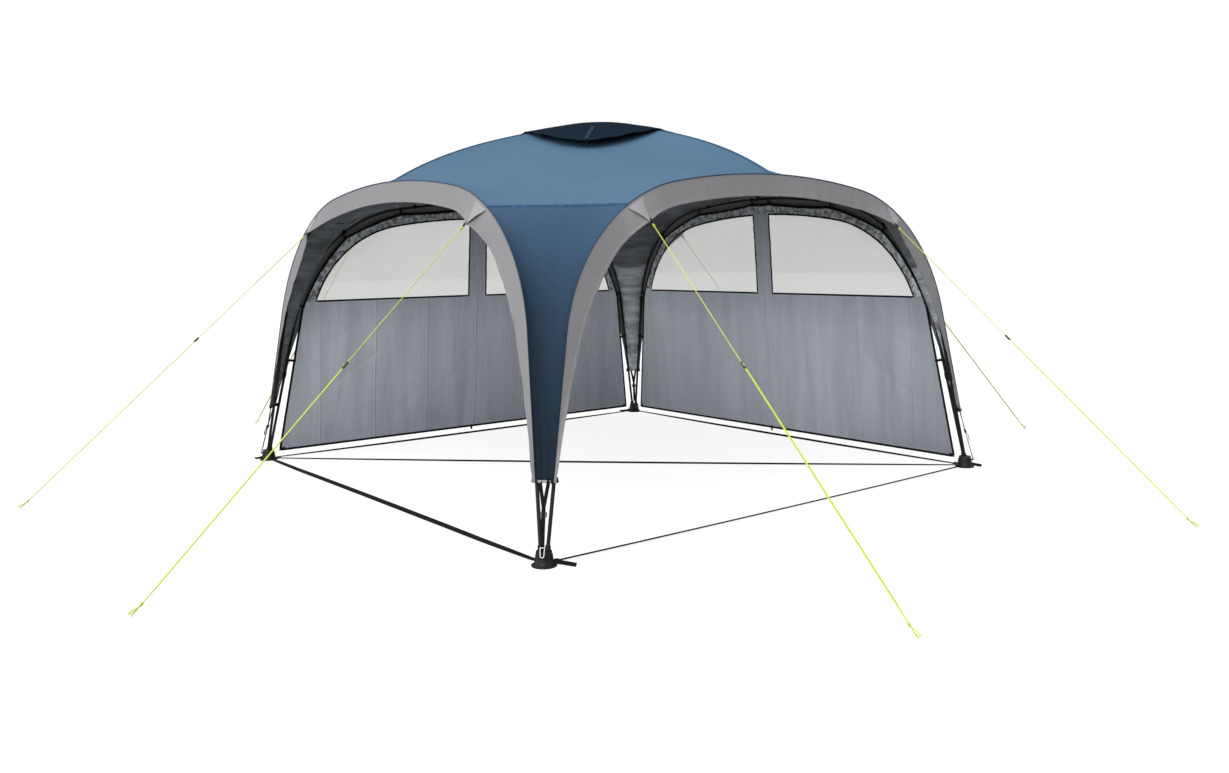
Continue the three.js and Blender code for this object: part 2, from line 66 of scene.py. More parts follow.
HEM_HEIGHT = 0.386
PANEL_SEAM_HEIGHT = 1.706
CLOTH = 0.0014  # drawn thickness of the cloth
GUYLINE = 0.0045  # diameter
GUY_GROUND = (1.225, -3.450, 0.003)
GUY_LOOP = 0.020  # from the hood's edge to the upper end of the line
SIDES = ("front", "right", "back", "left")
CORNERS = ("front_left", "front_right", "back_right", "back_left")
WALLED = (1, 2)  # the sides that have walls

# ---- The arch: a flat crown, two round shoulders and two straight legs, each tangent to the next ----
LEG_TOP_X = LEG_LINE - LEG_TOP / math.tan(LEG_ANGLE)
SHOULDER_X = LEG_TOP_X - SHOULDER_RADIUS * math.sin(LEG_ANGLE)
SHOULDER_Y = LEG_TOP - SHOULDER_RADIUS * math.cos(LEG_ANGLE)
SHOULDER_DROP = ARCH_TOP - SHOULDER_Y
CROWN_RADIUS = (SHOULDER_X**2 + SHOULDER_DROP**2 - SHOULDER_RADIUS**2) / (
    2 * (SHOULDER_DROP - SHOULDER_RADIUS)
)
CROWN_ANGLE = math.atan2(SHOULDER_X, CROWN_RADIUS - SHOULDER_DROP)
CROWN_RUN = CROWN_RADIUS * CROWN_ANGLE
SHOULDER_RUN = CROWN_RUN + SHOULDER_RADIUS * (LEG_ANGLE - CROWN_ANGLE)


def arch_at(run):
    """The arch's line at a run along it from the crown: x, y up the plane, and the direction outwards."""
    run = np.asarray(run, float)
    length = np.abs(run)
    side = np.where(run < 0, -1.0, 1.0)
    on_crown = length <= CROWN_RUN
    bend = np.minimum(CROWN_ANGLE + (length - CROWN_RUN) / SHOULDER_RADIUS, LEG_ANGLE)
    angle = np.where(on_crown, length / CROWN_RADIUS, bend)
    down = np.maximum(length - SHOULDER_RUN, 0)
    x = np.where(
        on_crown,
        CROWN_RADIUS * np.sin(angle),
        SHOULDER_X + SHOULDER_RADIUS * np.sin(angle) + down * math.cos(LEG_ANGLE),
    )
    y = np.where(
        on_crown,
        ARCH_TOP - CROWN_RADIUS * (1 - np.cos(angle)),
        SHOULDER_Y + SHOULDER_RADIUS * np.cos(angle) - down * math.sin(LEG_ANGLE),
    )
    return side * x, y, side * np.sin(angle), np.cos(angle)


def run_at_height(height):
    """The run at which the arch's line is at a height up its plane, on a shoulder or a leg."""
    if height < LEG_TOP:
        return SHOULDER_RUN + (LEG_TOP - height) / math.sin(LEG_ANGLE)
    return CROWN_RUN + SHOULDER_RADIUS * (math.acos((height - SHOULDER_Y) / SHOULDER_RADIUS) - CROWN_ANGLE)


def on_plane(x, y, out=0.0):
    """Points of the front arch's plane, or `out` in front of it."""
    x, y, out = np.broadcast_arrays(np.asarray(x, float), np.asarray(y, float), np.asarray(out, float))
    back = -PLANE_LINE + y * math.sin(ARCH_LEAN) - out * math.cos(ARCH_LEAN)
    up = y * math.cos(ARCH_LEAN) + out * math.sin(ARCH_LEAN)
    return np.stack([x, back, up], axis=-1)


def beside_arch(run, above, before):
    """Points beside the front arch's line: `above` it in its plane, and `before` the plane."""
    x, y, out_x, out_y = arch_at(run)
    return on_plane(x + above * out_x, y + above * out_y, before)


def turned(points, quarter):
    """Points of the front side turned to another side."""
    c, s = ((1, 0), (0, 1), (-1, 0), (0, -1))[quarter % 4]
    p = np.asarray(points, float)
    return np.stack([c * p[..., 0] - s * p[..., 1], s * p[..., 0] + c * p[..., 1], p[..., 2]], axis=-1)


def ridge_height(distance):
    """The roof cloth over a roof pole, at a distance from the centre."""
    slant = np.hypot(distance, RIDGE_ROUND) - RIDGE_ROUND
    return RIDGE_TOP - RIDGE_SLOPE * slant - RIDGE_DROOP * (np.abs(distance) / RIDGE_END) ** 4


PANEL_SEAM_RUN = run_at_height(PANEL_SEAM_HEIGHT)
HEM_RUN = run_at_height(HEM_HEIGHT)
GUY_RUN = PANEL_SEAM_RUN - 0.025


# ---- Smooth uneven shapes ----
def smoothstep(value, low, high):
    t = np.clip((value - low) / (high - low), 0, 1)
    return t * t * (3 - 2 * t)


def wander(points, size, seed):
    """An uneven value from about -1 to 1 at each point, which changes over about `size` metres."""
    random = np.random.default_rng(seed)
    points = np.asarray(points, float)
    directions = random.normal(size=(9, points.shape[-1]))
    directions /= np.linalg.norm(directions, axis=1, keepdims=True)
    pitches = size * random.uniform(0.8, 2.2, 9)
    phases = random.uniform(0, 2 * math.pi, 9)
    waves = np.sin(2 * math.pi * (points @ directions.T) / pitches + phases)
    return waves.mean(axis=-1) * 1.9


def unit(vectors):
    vectors = np.asarray(vectors, float)
    return vectors / np.maximum(np.linalg.norm(vectors, axis=-1, keepdims=True), 1e-12)


UP = np.array([0, 0, 1.0])
FRONT_OUT = np.array([0, -math.cos(ARCH_LEAN), math.sin(ARCH_LEAN)])  # square to the front arch's plane
CORNER_OUT = unit((-1.0, -1.0, 0))  # at the front left corner
CORNER_ACROSS = unit((1.0, -1.0, 0))


def shares(count):
    """Values from 0 to 1, as a column."""
    return np.linspace(0, 1, count)[:, None]


def oval(centre, a, b, steps):
    """Points round a centre, with half axes `a` and `b`."""
    angles = np.linspace(0, 2 * math.pi, steps + 1)[:-1, None]
    return centre + np.cos(angles) * a + np.sin(angles) * b


def loop_ahead(path):
    """The direction of a closed path at each of its points."""
    return unit(np.roll(path, -1, axis=0) - np.roll(path, 1, axis=0))


def arch_frame(run):
    """The front arch's pole at a run: its place, and the directions away from the middle and along it."""
    x, y, out_x, out_y = (float(v) for v in arch_at(run))
    upwards = on_plane(out_x, out_y) - on_plane(0, 0)
    return on_plane(x, y), upwards, unit(np.cross(upwards, FRONT_OUT))


def end_name(quarter, end):
    """An end of a side: the side's name, then its neighbour's."""
    return f"{SIDES[quarter]}_{SIDES[(quarter + end) % 4]}"


# ---- Mesh building ----
class Shape:
    """Points and faces with each corner's UV in metres, and each face's material number."""

    def __init__(self):
        self.points = np.zeros((0, 3))
        self.faces = []
        self.uvs = []
        self.slots = []

    def add(self, points, faces, uvs):
        """Adds faces over `points`. `uvs` has one for each point, or one list for each face."""
        base = len(self.points)
        per_face = isinstance(uvs, list)
        self.points = np.concatenate([self.points, np.asarray(points, float).reshape(-1, 3)])
        for i, face in enumerate(faces):
            self.faces.append([base + k for k in face])
            self.uvs.append(uvs[i] if per_face else [uvs[k] for k in face])
            self.slots.append(0)
        return self

    def join(self, other):
        base = len(self.points)
        self.points = np.concatenate([self.points, other.points])
        self.faces += [[base + k for k in face] for face in other.faces]
        self.uvs += other.uvs
        self.slots += other.slots
        return self

    def turn(self, quarter):
        self.points = turned(self.points, quarter)
        return self


def grid(rows, loop=False):
    """(points, faces, uvs) of quads over rows of points. `loop` joins the last column to the first."""
    rows = np.asarray(rows, float)
    m, n = rows.shape[:2]
    across = np.linalg.norm(np.diff(rows, axis=1), axis=2).mean(axis=0)
    along = np.linalg.norm(np.diff(rows, axis=0), axis=2).mean(axis=1)
    u = np.concatenate([[0], np.cumsum(across)])
    v = np.concatenate([[0], np.cumsum(along)])
    columns = n if loop else n - 1
    faces = [
        (i * n + j, i * n + (j + 1) % n, (i + 1) * n + (j + 1) % n, (i + 1) * n + j)
        for i in range(m - 1)
        for j in range(columns)
    ]
    return rows.reshape(-1, 3), faces, np.stack(np.meshgrid(u, v), axis=-1).reshape(-1, 2)


def face_normals(points, faces):
    """Each face's normal, as long as twice its area."""
    made = np.zeros((len(faces), 3))
    for size in (3, 4):
        which = [i for i, face in enumerate(faces) if len(face) == size]
        if which:
            corners = points[np.array([faces[i] for i in which])]
            last = corners[:, 3] if size == 4 else corners[:, 0]
            made[which] = np.cross(corners[:, 2] - corners[:, 0], last - corners[:, 1])
    return made


def area_of(points, faces):
    return float(np.linalg.norm(face_normals(points, faces), axis=1).sum() / 2)


def point_normals(points, faces):
    normals = face_normals(points, faces)
    made = np.zeros_like(points)
    for normal, face in zip(normals, faces):
        made[face] += normal
    return unit(made)


def thicken(points, faces, uvs, thickness=CLOTH, away_from=(0, 0, 0), centred=False):
    """A sheet as a closed solid: slot 0 is its face away from a point, slot 1 its back, slot 2 its rim."""
    points = np.asarray(points, float)
    normals = face_normals(points, faces)
    middles = np.array([points[list(face)].mean(axis=0) for face in faces])
    if ((middles - np.asarray(away_from, float)) * normals).sum() < 0:
        faces = [tuple(face)[::-1] for face in faces]
    faces = [tuple(face) for face in faces]
    outwards = point_normals(points, [list(face) for face in faces])
    count = len(points)
    front = points + outwards * (thickness / 2 if centred else 0)
    back = front - outwards * thickness
    shape = Shape()
    shape.points = np.concatenate([front, back])
    edges = {}
    for face in faces:
        for a, b in zip(face, face[1:] + face[:1]):
            if edges.pop((b, a), None) is None:
                edges[(a, b)] = True
    for slot, members in (
        (0, faces),
        (1, [tuple(count + k for k in face[::-1]) for face in faces]),
        (2, [(b, a, count + a, count + b) for a, b in edges]),
    ):
        for face in members:
            shape.faces.append(list(face))
            shape.uvs.append([uvs[k % count] for k in face])
            shape.slots.append(slot)
    return shape


def frames(path, loop=False):
    """Directions beside and over a path, carried along it without twist."""
    path = np.asarray(path, float)
    ahead = loop_ahead(path) if loop else unit(np.gradient(path, axis=0))
    over = np.array((0.13, 0.21, 0.97))  # slanted, so that it lies along no path
    sides, overs = [], []
    for direction in ahead:
        side = unit(np.cross(direction, over))
        over = unit(np.cross(side, direction))
        sides.append(side)
        overs.append(over)
    return np.array(sides), np.array(overs)


def sweep(path, side, over, section, loop=False, scale=None):
    """A closed section, in metres along `side` and `over`, carried along a path. `scale` widens it."""
    path = np.asarray(path, float)
    section = np.asarray(section, float)
    side = np.broadcast_to(np.asarray(side, float), path.shape)
    over = np.broadcast_to(np.asarray(over, float), path.shape)
    scale = np.ones(len(path)) if scale is None else np.asarray(scale, float)
    rings = (
        path[:, None]
        + scale[:, None, None] * section[None, :, 0, None] * side[:, None]
        + scale[:, None, None] * section[None, :, 1, None] * over[:, None]
    )
    n, k = rings.shape[:2]
    around = np.concatenate([[0], np.cumsum(np.linalg.norm(np.roll(section, -1, axis=0) - section, axis=1))])
    steps = np.linalg.norm(np.roll(path, -1, axis=0) - path, axis=1)
    along = np.concatenate([[0], np.cumsum(steps)])
    faces, uvs = [], []
    for i in range(n if loop else n - 1):
        for j in range(k):
            faces.append((i * k + j, i * k + (j + 1) % k, (i + 1) % n * k + (j + 1) % k, (i + 1) % n * k + j))
            u, w = around[j], around[j + 1]
            uvs.append([(u, along[i]), (w, along[i]), (w, along[i + 1]), (u, along[i + 1])])
    if not loop:
        for ring in (list(range(k))[::-1], [(n - 1) * k + j for j in range(k)]):
            faces.append(tuple(ring))
            uvs.append([tuple(section[j % k]) for j in ring])
    return Shape().add(rings.reshape(-1, 3), faces, uvs)


def round_section(radius, sides):
    angles = np.arange(sides) * 2 * math.pi / sides
    return np.stack([radius * np.cos(angles), radius * np.sin(angles)], axis=1)


def tape_section(width, thickness):
    """A flat tape's section, thinner at its two edges."""
    w, t, lip = width / 2, thickness / 2, min(width / 8, thickness)
    return [(-w, 0), (-w + lip, -t), (w - lip, -t), (w, 0), (w - lip, t), (-w + lip, t)]


def block_section(width, height, corner):
    """A rectangle with rounded corners."""
    made = []
    for quarter, (sx, sy) in enumerate(((1, 1), (-1, 1), (-1, -1), (1, -1))):
        for step in range(4):
            angle = (quarter + step / 3) * math.pi / 2
            x = sx * (width / 2 - corner) + corner * math.cos(angle)
            y = sy * (height / 2 - corner) + corner * math.sin(angle)
            made.append((x, y))
    return made


def tube(path, radius, sides=16, scale=None, loop=False):
    side, over = frames(path, loop)
    return sweep(path, side, over, round_section(radius, sides), loop, scale)


def straight(start, end, steps=1):
    t = shares(steps + 1)
    return np.asarray(start, float) * (1 - t) + np.asarray(end, float) * t


def bar(start, end, steps, side, over, section):
    """A straight bar or tape, with its section along `side` and `over`."""
    return sweep(straight(start, end, steps), side, over, section)


def band(loop, side, section):
    """A closed band of tape round a loop of points, as wide as the section along `side`."""
    return sweep(loop, side, np.cross(loop_ahead(loop), side), section, loop=True)


def rounded_path(corners, radius, steps=6):
    """A line through corners, with each inner one rounded."""
    corners = [np.asarray(c, float) for c in corners]
    made = [corners[0]]
    for before, corner, after in zip(corners, corners[1:], corners[2:]):
        a = corner + unit(before - corner) * radius
        b = corner + unit(after - corner) * radius
        for t in np.linspace(0, 1, steps):
            made.append((1 - t) ** 2 * a + 2 * t * (1 - t) * corner + t * t * b)
    made.append(corners[-1])
    return np.array(made)


def lathe(profile, segments):
    """A profile of (radius, height) turned about Z, closed where it meets the axis."""
    angles = np.arange(segments) * 2 * math.pi / segments
    rows = np.array([[(r * math.cos(a), r * math.sin(a), z) for a in angles] for r, z in profile[1:-1]])
    points, faces, uvs = grid(rows, loop=True)
    shape = Shape().add(points, faces, uvs)
    count = len(points)
    ends = ((profile[0], range(segments)), (profile[-1], range(count - segments, count)))
    for (_, height), ring in ends:
        shape.points = np.concatenate([shape.points, [(0, 0, height)]])
        tip = len(shape.points) - 1
        ring = list(ring)
        for a, b in zip(ring, ring[1:] + ring[:1]):
            shape.faces.append([a, b, tip])
            shape.uvs.append([tuple(shape.points[k][:2]) for k in (a, b, tip)])
            shape.slots.append(0)
    return shape


def piece(name, shape, materials, body="shelter", sharp=40):
    """A mesh object from a shape, that rides on a body and takes the materials given."""
    data = bpy.data.meshes.new(name)
    data.from_pydata(shape.points.tolist(), [], shape.faces)
    uvs = [x for face in shape.uvs for uv in face for x in uv]
    data.uv_layers.new(name="cloth").data.foreach_set("uv", uvs)
    data.polygons.foreach_set("material_index", shape.slots)
    materials = materials if isinstance(materials, (list, tuple)) else [materials]
    for material in materials:
        data.materials.append(material)
    for face in data.polygons:
        face.material_index = min(face.material_index, len(materials) - 1)
    editable = bmesh.new()
    editable.from_mesh(data)
    bmesh.ops.recalc_face_normals(editable, faces=editable.faces)
    editable.to_mesh(data)
    editable.free()
    data.shade_smooth()
    data.set_sharp_from_angle(angle=math.radians(sharp))
    made = bpy.data.objects.new(name, data)
    bpy.context.scene.collection.objects.link(made)
    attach(made, body)
    return made


# ---- Materials ----
FOLD_PITCH = 0.45  # between the creases that packing leaves
YARN_PITCH = 0.0016
CLOTH_ROUGHNESS = 0.85


class Shader:
    """A material's node tree, with short ways to add nodes and join them."""

    def __init__(self, name):
        self.material = bpy.data.materials.new(name)
        self.material.use_nodes = True
        self.tree = self.material.node_tree
        self.surface = self.tree.nodes["Principled BSDF"]
        where = self.tree.nodes.new("ShaderNodeTexCoord")
        self.uv = where.outputs["UV"]
        self.place = where.outputs["Object"]

    def node(self, kind, settings=(), **sockets):
        made = self.tree.nodes.new("ShaderNode" + kind)
        for key, value in dict(settings).items():
            setattr(made, key, value)
        for key, value in sockets.items():
            self.put(made.inputs[int(key[1:]) if key[1:].isdigit() else key.replace("_", " ")], value)
        return made

    def put(self, socket, value):
        if isinstance(value, bpy.types.NodeSocket):
            self.tree.links.new(value, socket)
        else:
            socket.default_value = value

    def math(self, operation, a, b=0.0):
        return self.node("Math", {"operation": operation}, i0=a, i1=b).outputs[0]

    def noise(self, scale, detail, stretch=None):
        vector = self.place
        if stretch:
            vector = self.node("Mapping", Vector=vector, Scale=stretch).outputs[0]
        return self.node("TexNoise", Vector=vector, Scale=scale, Detail=detail).outputs["Fac"]

    def wave(self, direction, pitch, vector=None):
        """0 to 1 waves across the cloth, a pitch apart."""
        settings = {"wave_type": "BANDS", "bands_direction": direction, "wave_profile": "SIN"}
        return self.node("TexWave", settings, Vector=vector or self.uv, Scale=0.314159 / pitch).outputs["Fac"]

    def blend(self, factor, a, b):
        made = self.node("Mix", {"data_type": "RGBA"}, Factor=factor)
        self.put(made.inputs[6], a)
        self.put(made.inputs[7], b)
        return made.outputs[2]

    def scaled(self, colour, factor):
        """A colour multiplied by a value."""
        return self.node("VectorMath", {"operation": "SCALE"}, i0=colour, i3=factor).outputs[0]

    def spread(self, value, low, high, start=0.0, end=1.0):
        """A value's stretch from `low` to `high` made into one from `start` to `end`."""
        ranges = {"From_Min": low, "From_Max": high, "To_Min": start, "To_Max": end}
        return self.node("MapRange", {"clamp": True}, Value=value, **ranges).outputs[0]

    def set(self, **sockets):
        for key, value in sockets.items():
            self.put(self.surface.inputs[key.replace("_", " ")], value)
        return self

    def bump(self, height, distance, strength=1.0, after=None):
        made = self.node("Bump", Height=height, Distance=distance, Strength=strength)
        if after:
            self.put(made.inputs["Normal"], after)
        return made.outputs[0]


def tone(colour, factor):
    """A colour made lighter or darker."""
    return tuple(min(c * factor, 1.0) for c in colour[:3]) + (1.0,)


def srgb(red, green, blue):
    """A colour given as screen values from 0 to 255."""
    linear = [((v / 255 + 0.055) / 1.055) ** 2.4 if v > 10 else v / 255 / 12.92 for v in (red, green, blue)]
    return (*linear, 1.0)


def woven(
    name, colour, uneven=0.10, folds=0.0, crumple=1.0, streaks=0.0, ripples=0.0, painted_ground_shade=(), painted_front_shade=(), shine=0.12
):
    """Coated woven cloth: two crossing sets of yarns, cloudy tone, fine creases, and sharp packing folds.
    `streaks` adds soft upright folds, and `ripples` level ones, each with painted shade and highlight along
    them.
    A painted ground shade, (low height, high height, low tone, power), darkens the cloth towards the ground,
    and a painted front shade does the same along Y, without the power."""
    s = Shader(name)
    yarns = s.math("MAXIMUM", s.wave("X", YARN_PITCH), s.wave("Y", YARN_PITCH))
    mottle = s.noise(26.0, 5.0)
    shade = s.math("ADD", s.math("MULTIPLY", s.noise(1.3, 4.0), 0.65), s.math("MULTIPLY", mottle, 0.35))
    body = s.blend(s.spread(shade, 0.33, 0.67), tone(colour, 1 - uneven), tone(colour, 1 + uneven))
    cloth = s.blend(s.spread(yarns, 0.2, 1.0), tone(colour, 0.75), body)
    bumped = s.bump(yarns, 0.0003, 0.35)
    bumped = s.bump(s.noise(11.0, 6.0, stretch=(1.0, 1.0, 0.45)), 0.012 * crumple, 0.35, bumped)
    if streaks:
        upright = s.noise(9.0, 4.0, stretch=(1.0, 1.0, 0.05))
        # Painted shade and highlight along the upright folds.
        cloth = s.scaled(cloth, s.spread(upright, 0.35, 0.65, 1 - streaks, 1 + streaks))
        bumped = s.bump(upright, 0.03, 0.3, bumped)
    if ripples:
        level = s.noise(4.0, 6.0, stretch=(1.0, 1.0, 6.0))
        # Painted shade and highlight along the level ripples.
        cloth = s.scaled(cloth, s.spread(level, 0.3, 0.7, 1 - 0.5 * ripples, 1 + 0.5 * ripples))
        bumped = s.bump(level, 0.08 * ripples, 0.7, bumped)
    if folds:
        across = s.node("SeparateXYZ", Vector=s.uv).outputs["X"]
        line = s.spread(s.math("PINGPONG", across, FOLD_PITCH / 2), 0.0, 0.009, 1.0, 0.0)
        bumped = s.bump(line, 0.004 * folds, 0.6, bumped)
    # Painted shade: darker towards the ground.
    if painted_ground_shade:
        height = s.node("SeparateXYZ", Vector=s.place).outputs["Z"]
        share = s.math("POWER", s.spread(height, painted_ground_shade[0], painted_ground_shade[1]), painted_ground_shade[3])
        cloth = s.scaled(cloth, s.spread(share, 0.0, 1.0, painted_ground_shade[2], 1.0))
    # Painted shade: darker towards the front, along Y.
    if painted_front_shade:
        along = s.node("SeparateXYZ", Vector=s.place).outputs["Y"]
        cloth = s.scaled(cloth, s.spread(along, painted_front_shade[0], painted_front_shade[1], painted_front_shade[2], 1.0))
    rough = s.spread(mottle, 0.3, 0.7, CLOTH_ROUGHNESS - 0.07, CLOTH_ROUGHNESS + 0.07)
    s.set(Base_Color=cloth, Roughness=rough, Normal=bumped, Specular_IOR_Level=shine)
    return s.material


def crinkled(name, colour):
    """Thin, shiny, crinkled cloth, with painted highlights and shade as the light and dark patches of its
    colour.
    """
    s = Shader(name)
    cells = s.node("TexVoronoi", {"feature": "DISTANCE_TO_EDGE"}, Vector=s.place, Scale=24.0)
    ridges = cells.outputs["Distance"]
    wrinkles = s.noise(38.0, 6.0)
    shade = s.noise(30.0, 7.0)
    # Painted highlight and shade of the crinkles, as light and dark patches.
    body = s.blend(s.spread(shade, 0.40, 0.60), tone(colour, 0.35), tone(colour, 1.2))
    bumped = s.bump(s.spread(ridges, 0.0, 0.12), 0.006, 0.55)
    bumped = s.bump(wrinkles, 0.012, 0.8, bumped)
    s.set(Base_Color=body, Roughness=s.spread(wrinkles, 0.3, 0.7, 0.32, 0.52), Normal=bumped)
    return s.material


def webbing_tape(name, colour, pitch=0.0022, roughness=0.8):
    """Narrow woven tape with ribs across it and a slightly worn face."""
    s = Shader(name)
    ribs = s.wave("Y", pitch)
    grain = s.noise(900.0, 2.0)
    worn = s.noise(35.0, 5.0)
    body = s.blend(s.spread(ribs, 0.1, 0.9), tone(colour, 0.6), tone(colour, 1.15))
    body = s.blend(s.spread(worn, 0.52, 0.75, 0.0, 0.5), body, tone(colour, 1.9))
    bumped = s.bump(ribs, 0.0005, 0.6)
    bumped = s.bump(grain, 0.0002, 0.3, bumped)
    rough = s.spread(worn, 0.3, 0.7, roughness - 0.1, roughness + 0.1)
    s.set(Base_Color=body, Roughness=rough, Normal=bumped, Specular_IOR_Level=0.1)
    return s.material


def braid(name, colour, fleck, pitch=0.006):
    """Braided cord: strands that cross on the slant, with paler flecks."""
    s = Shader(name)
    slants = []
    for turn in (1.0, -1.0):
        slanted = s.node("Mapping", Vector=s.uv, Rotation=(0, 0, turn * math.radians(52))).outputs[0]
        slants.append(s.wave("X", pitch / 3, slanted))
    strands = s.math("MAXIMUM", *slants)
    marks = s.noise(240.0, 2.0)
    body = s.blend(s.spread(strands, 0.3, 0.95), tone(colour, 0.55), colour)
    body = s.blend(s.spread(marks, 0.62, 0.72, 0.0, 0.6), body, fleck)
    s.set(Base_Color=body, Roughness=s.spread(marks, 0.3, 0.7, 0.6, 0.8), Sheen_Weight=0.2)
    s.set(Normal=s.bump(strands, 0.0006, 0.8))
    return s.material


def moulded(name, colour, roughness=0.5):
    """Moulded plastic with a fine spark-eroded grain and rubbed, dusty places."""
    s = Shader(name)
    fine = s.noise(1400.0, 3.0)
    broad = s.noise(9.0, 5.0)
    body = s.blend(s.spread(broad, 0.45, 0.75, 0.0, 0.35), colour, tone(colour, 2.0))
    s.set(Base_Color=body, Roughness=s.spread(broad, 0.3, 0.7, roughness - 0.1, roughness + 0.12))
    s.set(Normal=s.bump(fine, 0.00015, 0.5), Specular_IOR_Level=0.25)
    return s.material


def painted_steel(name, colour, metallic=0.0, roughness=0.35):
    """Powder-coated steel tube with faint orange peel and scuffs along it."""
    s = Shader(name)
    peel = s.noise(600.0, 2.0)
    scuffs = s.noise(30.0, 6.0, stretch=(1.0, 1.0, 0.12))
    body = s.blend(s.spread(scuffs, 0.6, 0.72, 0.0, 0.7), colour, tone(colour, 2.4))
    s.set(Base_Color=body, Metallic=metallic, Normal=s.bump(peel, 0.0002, 0.3))
    s.set(Roughness=s.spread(scuffs, 0.3, 0.7, roughness - 0.08, roughness + 0.15), Specular_IOR_Level=0.25)
    return s.material


def bare_metal(name, colour):
    """Plated metal with fine scratches."""
    s = Shader(name)
    scratches = s.noise(180.0, 4.0, stretch=(1.0, 8.0, 1.0))
    dull = s.noise(60.0, 3.0)
    s.set(Base_Color=s.blend(s.spread(dull, 0.4, 0.7), colour, tone(colour, 0.7)), Metallic=1.0)
    s.set(Roughness=s.spread(scratches, 0.3, 0.7, 0.25, 0.45), Normal=s.bump(scratches, 0.0001, 0.3))
    return s.material


def clear_film(name, tint):
    """Clear window film: half see-through, with a milky tint, soft waves and faint packing marks."""
    s = Shader(name)
    haze = s.noise(2.2, 4.0)
    waves = s.noise(3.5, 3.0)
    s.set(Base_Color=s.blend(s.spread(haze, 0.35, 0.65), tone(tint, 0.98), tone(tint, 1.02)))
    s.set(Roughness=s.spread(haze, 0.3, 0.7, 0.22, 0.28), Specular_IOR_Level=0.3)
    s.set(Normal=s.bump(waves, 0.01, 0.3))
    through = s.node("BsdfTransparent", Color=(0.97, 0.975, 0.97, 1.0)).outputs[0]
    glow = s.node("BsdfTranslucent", Color=tint).outputs[0]
    milky = s.node("MixShader", Fac=0.5)
    s.tree.links.new(s.surface.outputs[0], milky.inputs[1])
    s.tree.links.new(glow, milky.inputs[2])
    mixed = s.node("MixShader", Fac=s.spread(haze, 0.3, 0.7, 0.35, 0.38))
    s.tree.links.new(through, mixed.inputs[1])
    s.tree.links.new(milky.outputs[0], mixed.inputs[2])
    s.tree.links.new(mixed.outputs[0], s.tree.nodes["Material Output"].inputs["Surface"])
    return s.material


ROOF_BLUE = srgb(68, 96, 119)
PANEL_BLUE = srgb(53, 77, 101)
CAP_NAVY = srgb(23, 34, 45)
HOOD_GREY = srgb(126, 125, 127)
LINING_GREY = srgb(122, 127, 130)
WALL_GREY = srgb(208, 213, 223)
BAND_GREY = srgb(205, 210, 213)
BLACK = srgb(14, 15, 17)
TAPE_BLACK = srgb(16, 17, 19)
LIME = srgb(194, 206, 58)

roof_cloth = woven("roof_cloth", ROOF_BLUE, folds=0.6, uneven=0.07)
# The panels' cloth has painted shade, darker towards the ground.
panel_cloth = woven("panel_cloth", PANEL_BLUE, uneven=0.14, folds=0.4, painted_ground_shade=(0.4, 1.7, 0.2, 2.0))
cap_cloth = woven("cap_cloth", CAP_NAVY, folds=0.4, shine=0.0)
cap_tape = webbing_tape("cap_tape", srgb(24, 36, 48))
# The level ripples in both linings paint shade and highlight along creases.
lining = woven("roof_lining", LINING_GREY, uneven=0.16, crumple=2.0, ripples=0.7)
panel_lining = woven("panel_lining", srgb(186, 192, 198), uneven=0.14, crumple=2.4, ripples=0.9)
hood_cloth = woven("hood_cloth", HOOD_GREY, uneven=0.06)
# Paler than the hood: painted highlight for the lit face of the pleat at each guy point.
gusset_cloth = woven("gusset_cloth", srgb(140, 140, 142), uneven=0.05)
# Painted shade on the walls: darker towards the ground and towards the front, where less light reaches them.
# The upright streaks paint shade and highlight along folds.
WALL_PAINTED_SHADE = {"painted_ground_shade": (0.0, 0.9, 0.52, 1.0), "painted_front_shade": (-1.7, -0.4, 0.58)}
wall_cloth = woven("wall_cloth", WALL_GREY, uneven=0.05, folds=1.0, streaks=0.07, **WALL_PAINTED_SHADE)
wall_band = crinkled("wall_band", BAND_GREY)
film = clear_film("window_film", srgb(218, 217, 215))
binding = webbing_tape("binding", TAPE_BLACK, 0.0012)
hem_tape = webbing_tape("hem_tape", srgb(150, 152, 156), 0.0012)
blue_seam = webbing_tape("blue_seam", srgb(44, 72, 104), 0.0012, 0.75)
roof_seam = webbing_tape("roof_seam", srgb(66, 98, 130), 0.0012, 0.75)
webbing = webbing_tape("webbing", BLACK)
steel = painted_steel("leg_steel", srgb(16, 17, 18), roughness=0.42)
rod_black = painted_steel("bent_pole", srgb(16, 17, 18), roughness=0.48)
ferrule_metal = painted_steel("ferrule", srgb(58, 60, 63), 0.8, 0.3)
plastic = moulded("foot_plastic", srgb(14, 15, 16))
chrome = bare_metal("plated_metal", srgb(200, 202, 205))
guy_cord = braid("guyline_cord", LIME, srgb(235, 240, 190))
shock_cord = braid("shock_cord", srgb(205, 207, 208), srgb(60, 62, 65), 0.004)
runner_plastic = moulded("runner_plastic", srgb(52, 54, 50), 0.42)

# ---- Camera, floor and light ----
IMAGE = (1229, 773)
FOCAL_PIXELS = 1042.5
PRINCIPAL_POINT = (610.6, 354.6)
CAMERA_PLACE = (-4.508, -5.7085, 1.449)
CAMERA_AZIMUTH = math.radians(38.73)
CAMERA_PITCH = math.radians(5.34)
CAMERA_ROLL = math.radians(-0.65)
SENSOR = 36.0
FLOOR_GLOW = 0.86  # of the floor as seen by the camera
FLOOR_LIGHT = 0.13  # of the floor as it lights the shelter
FLOOR_REACH = 60.0
WORLD_LIGHT = 1.02
KEY_LIGHT = {"direction": (0.77, 0.16, -0.60), "strength": 3.6, "spread": 80}


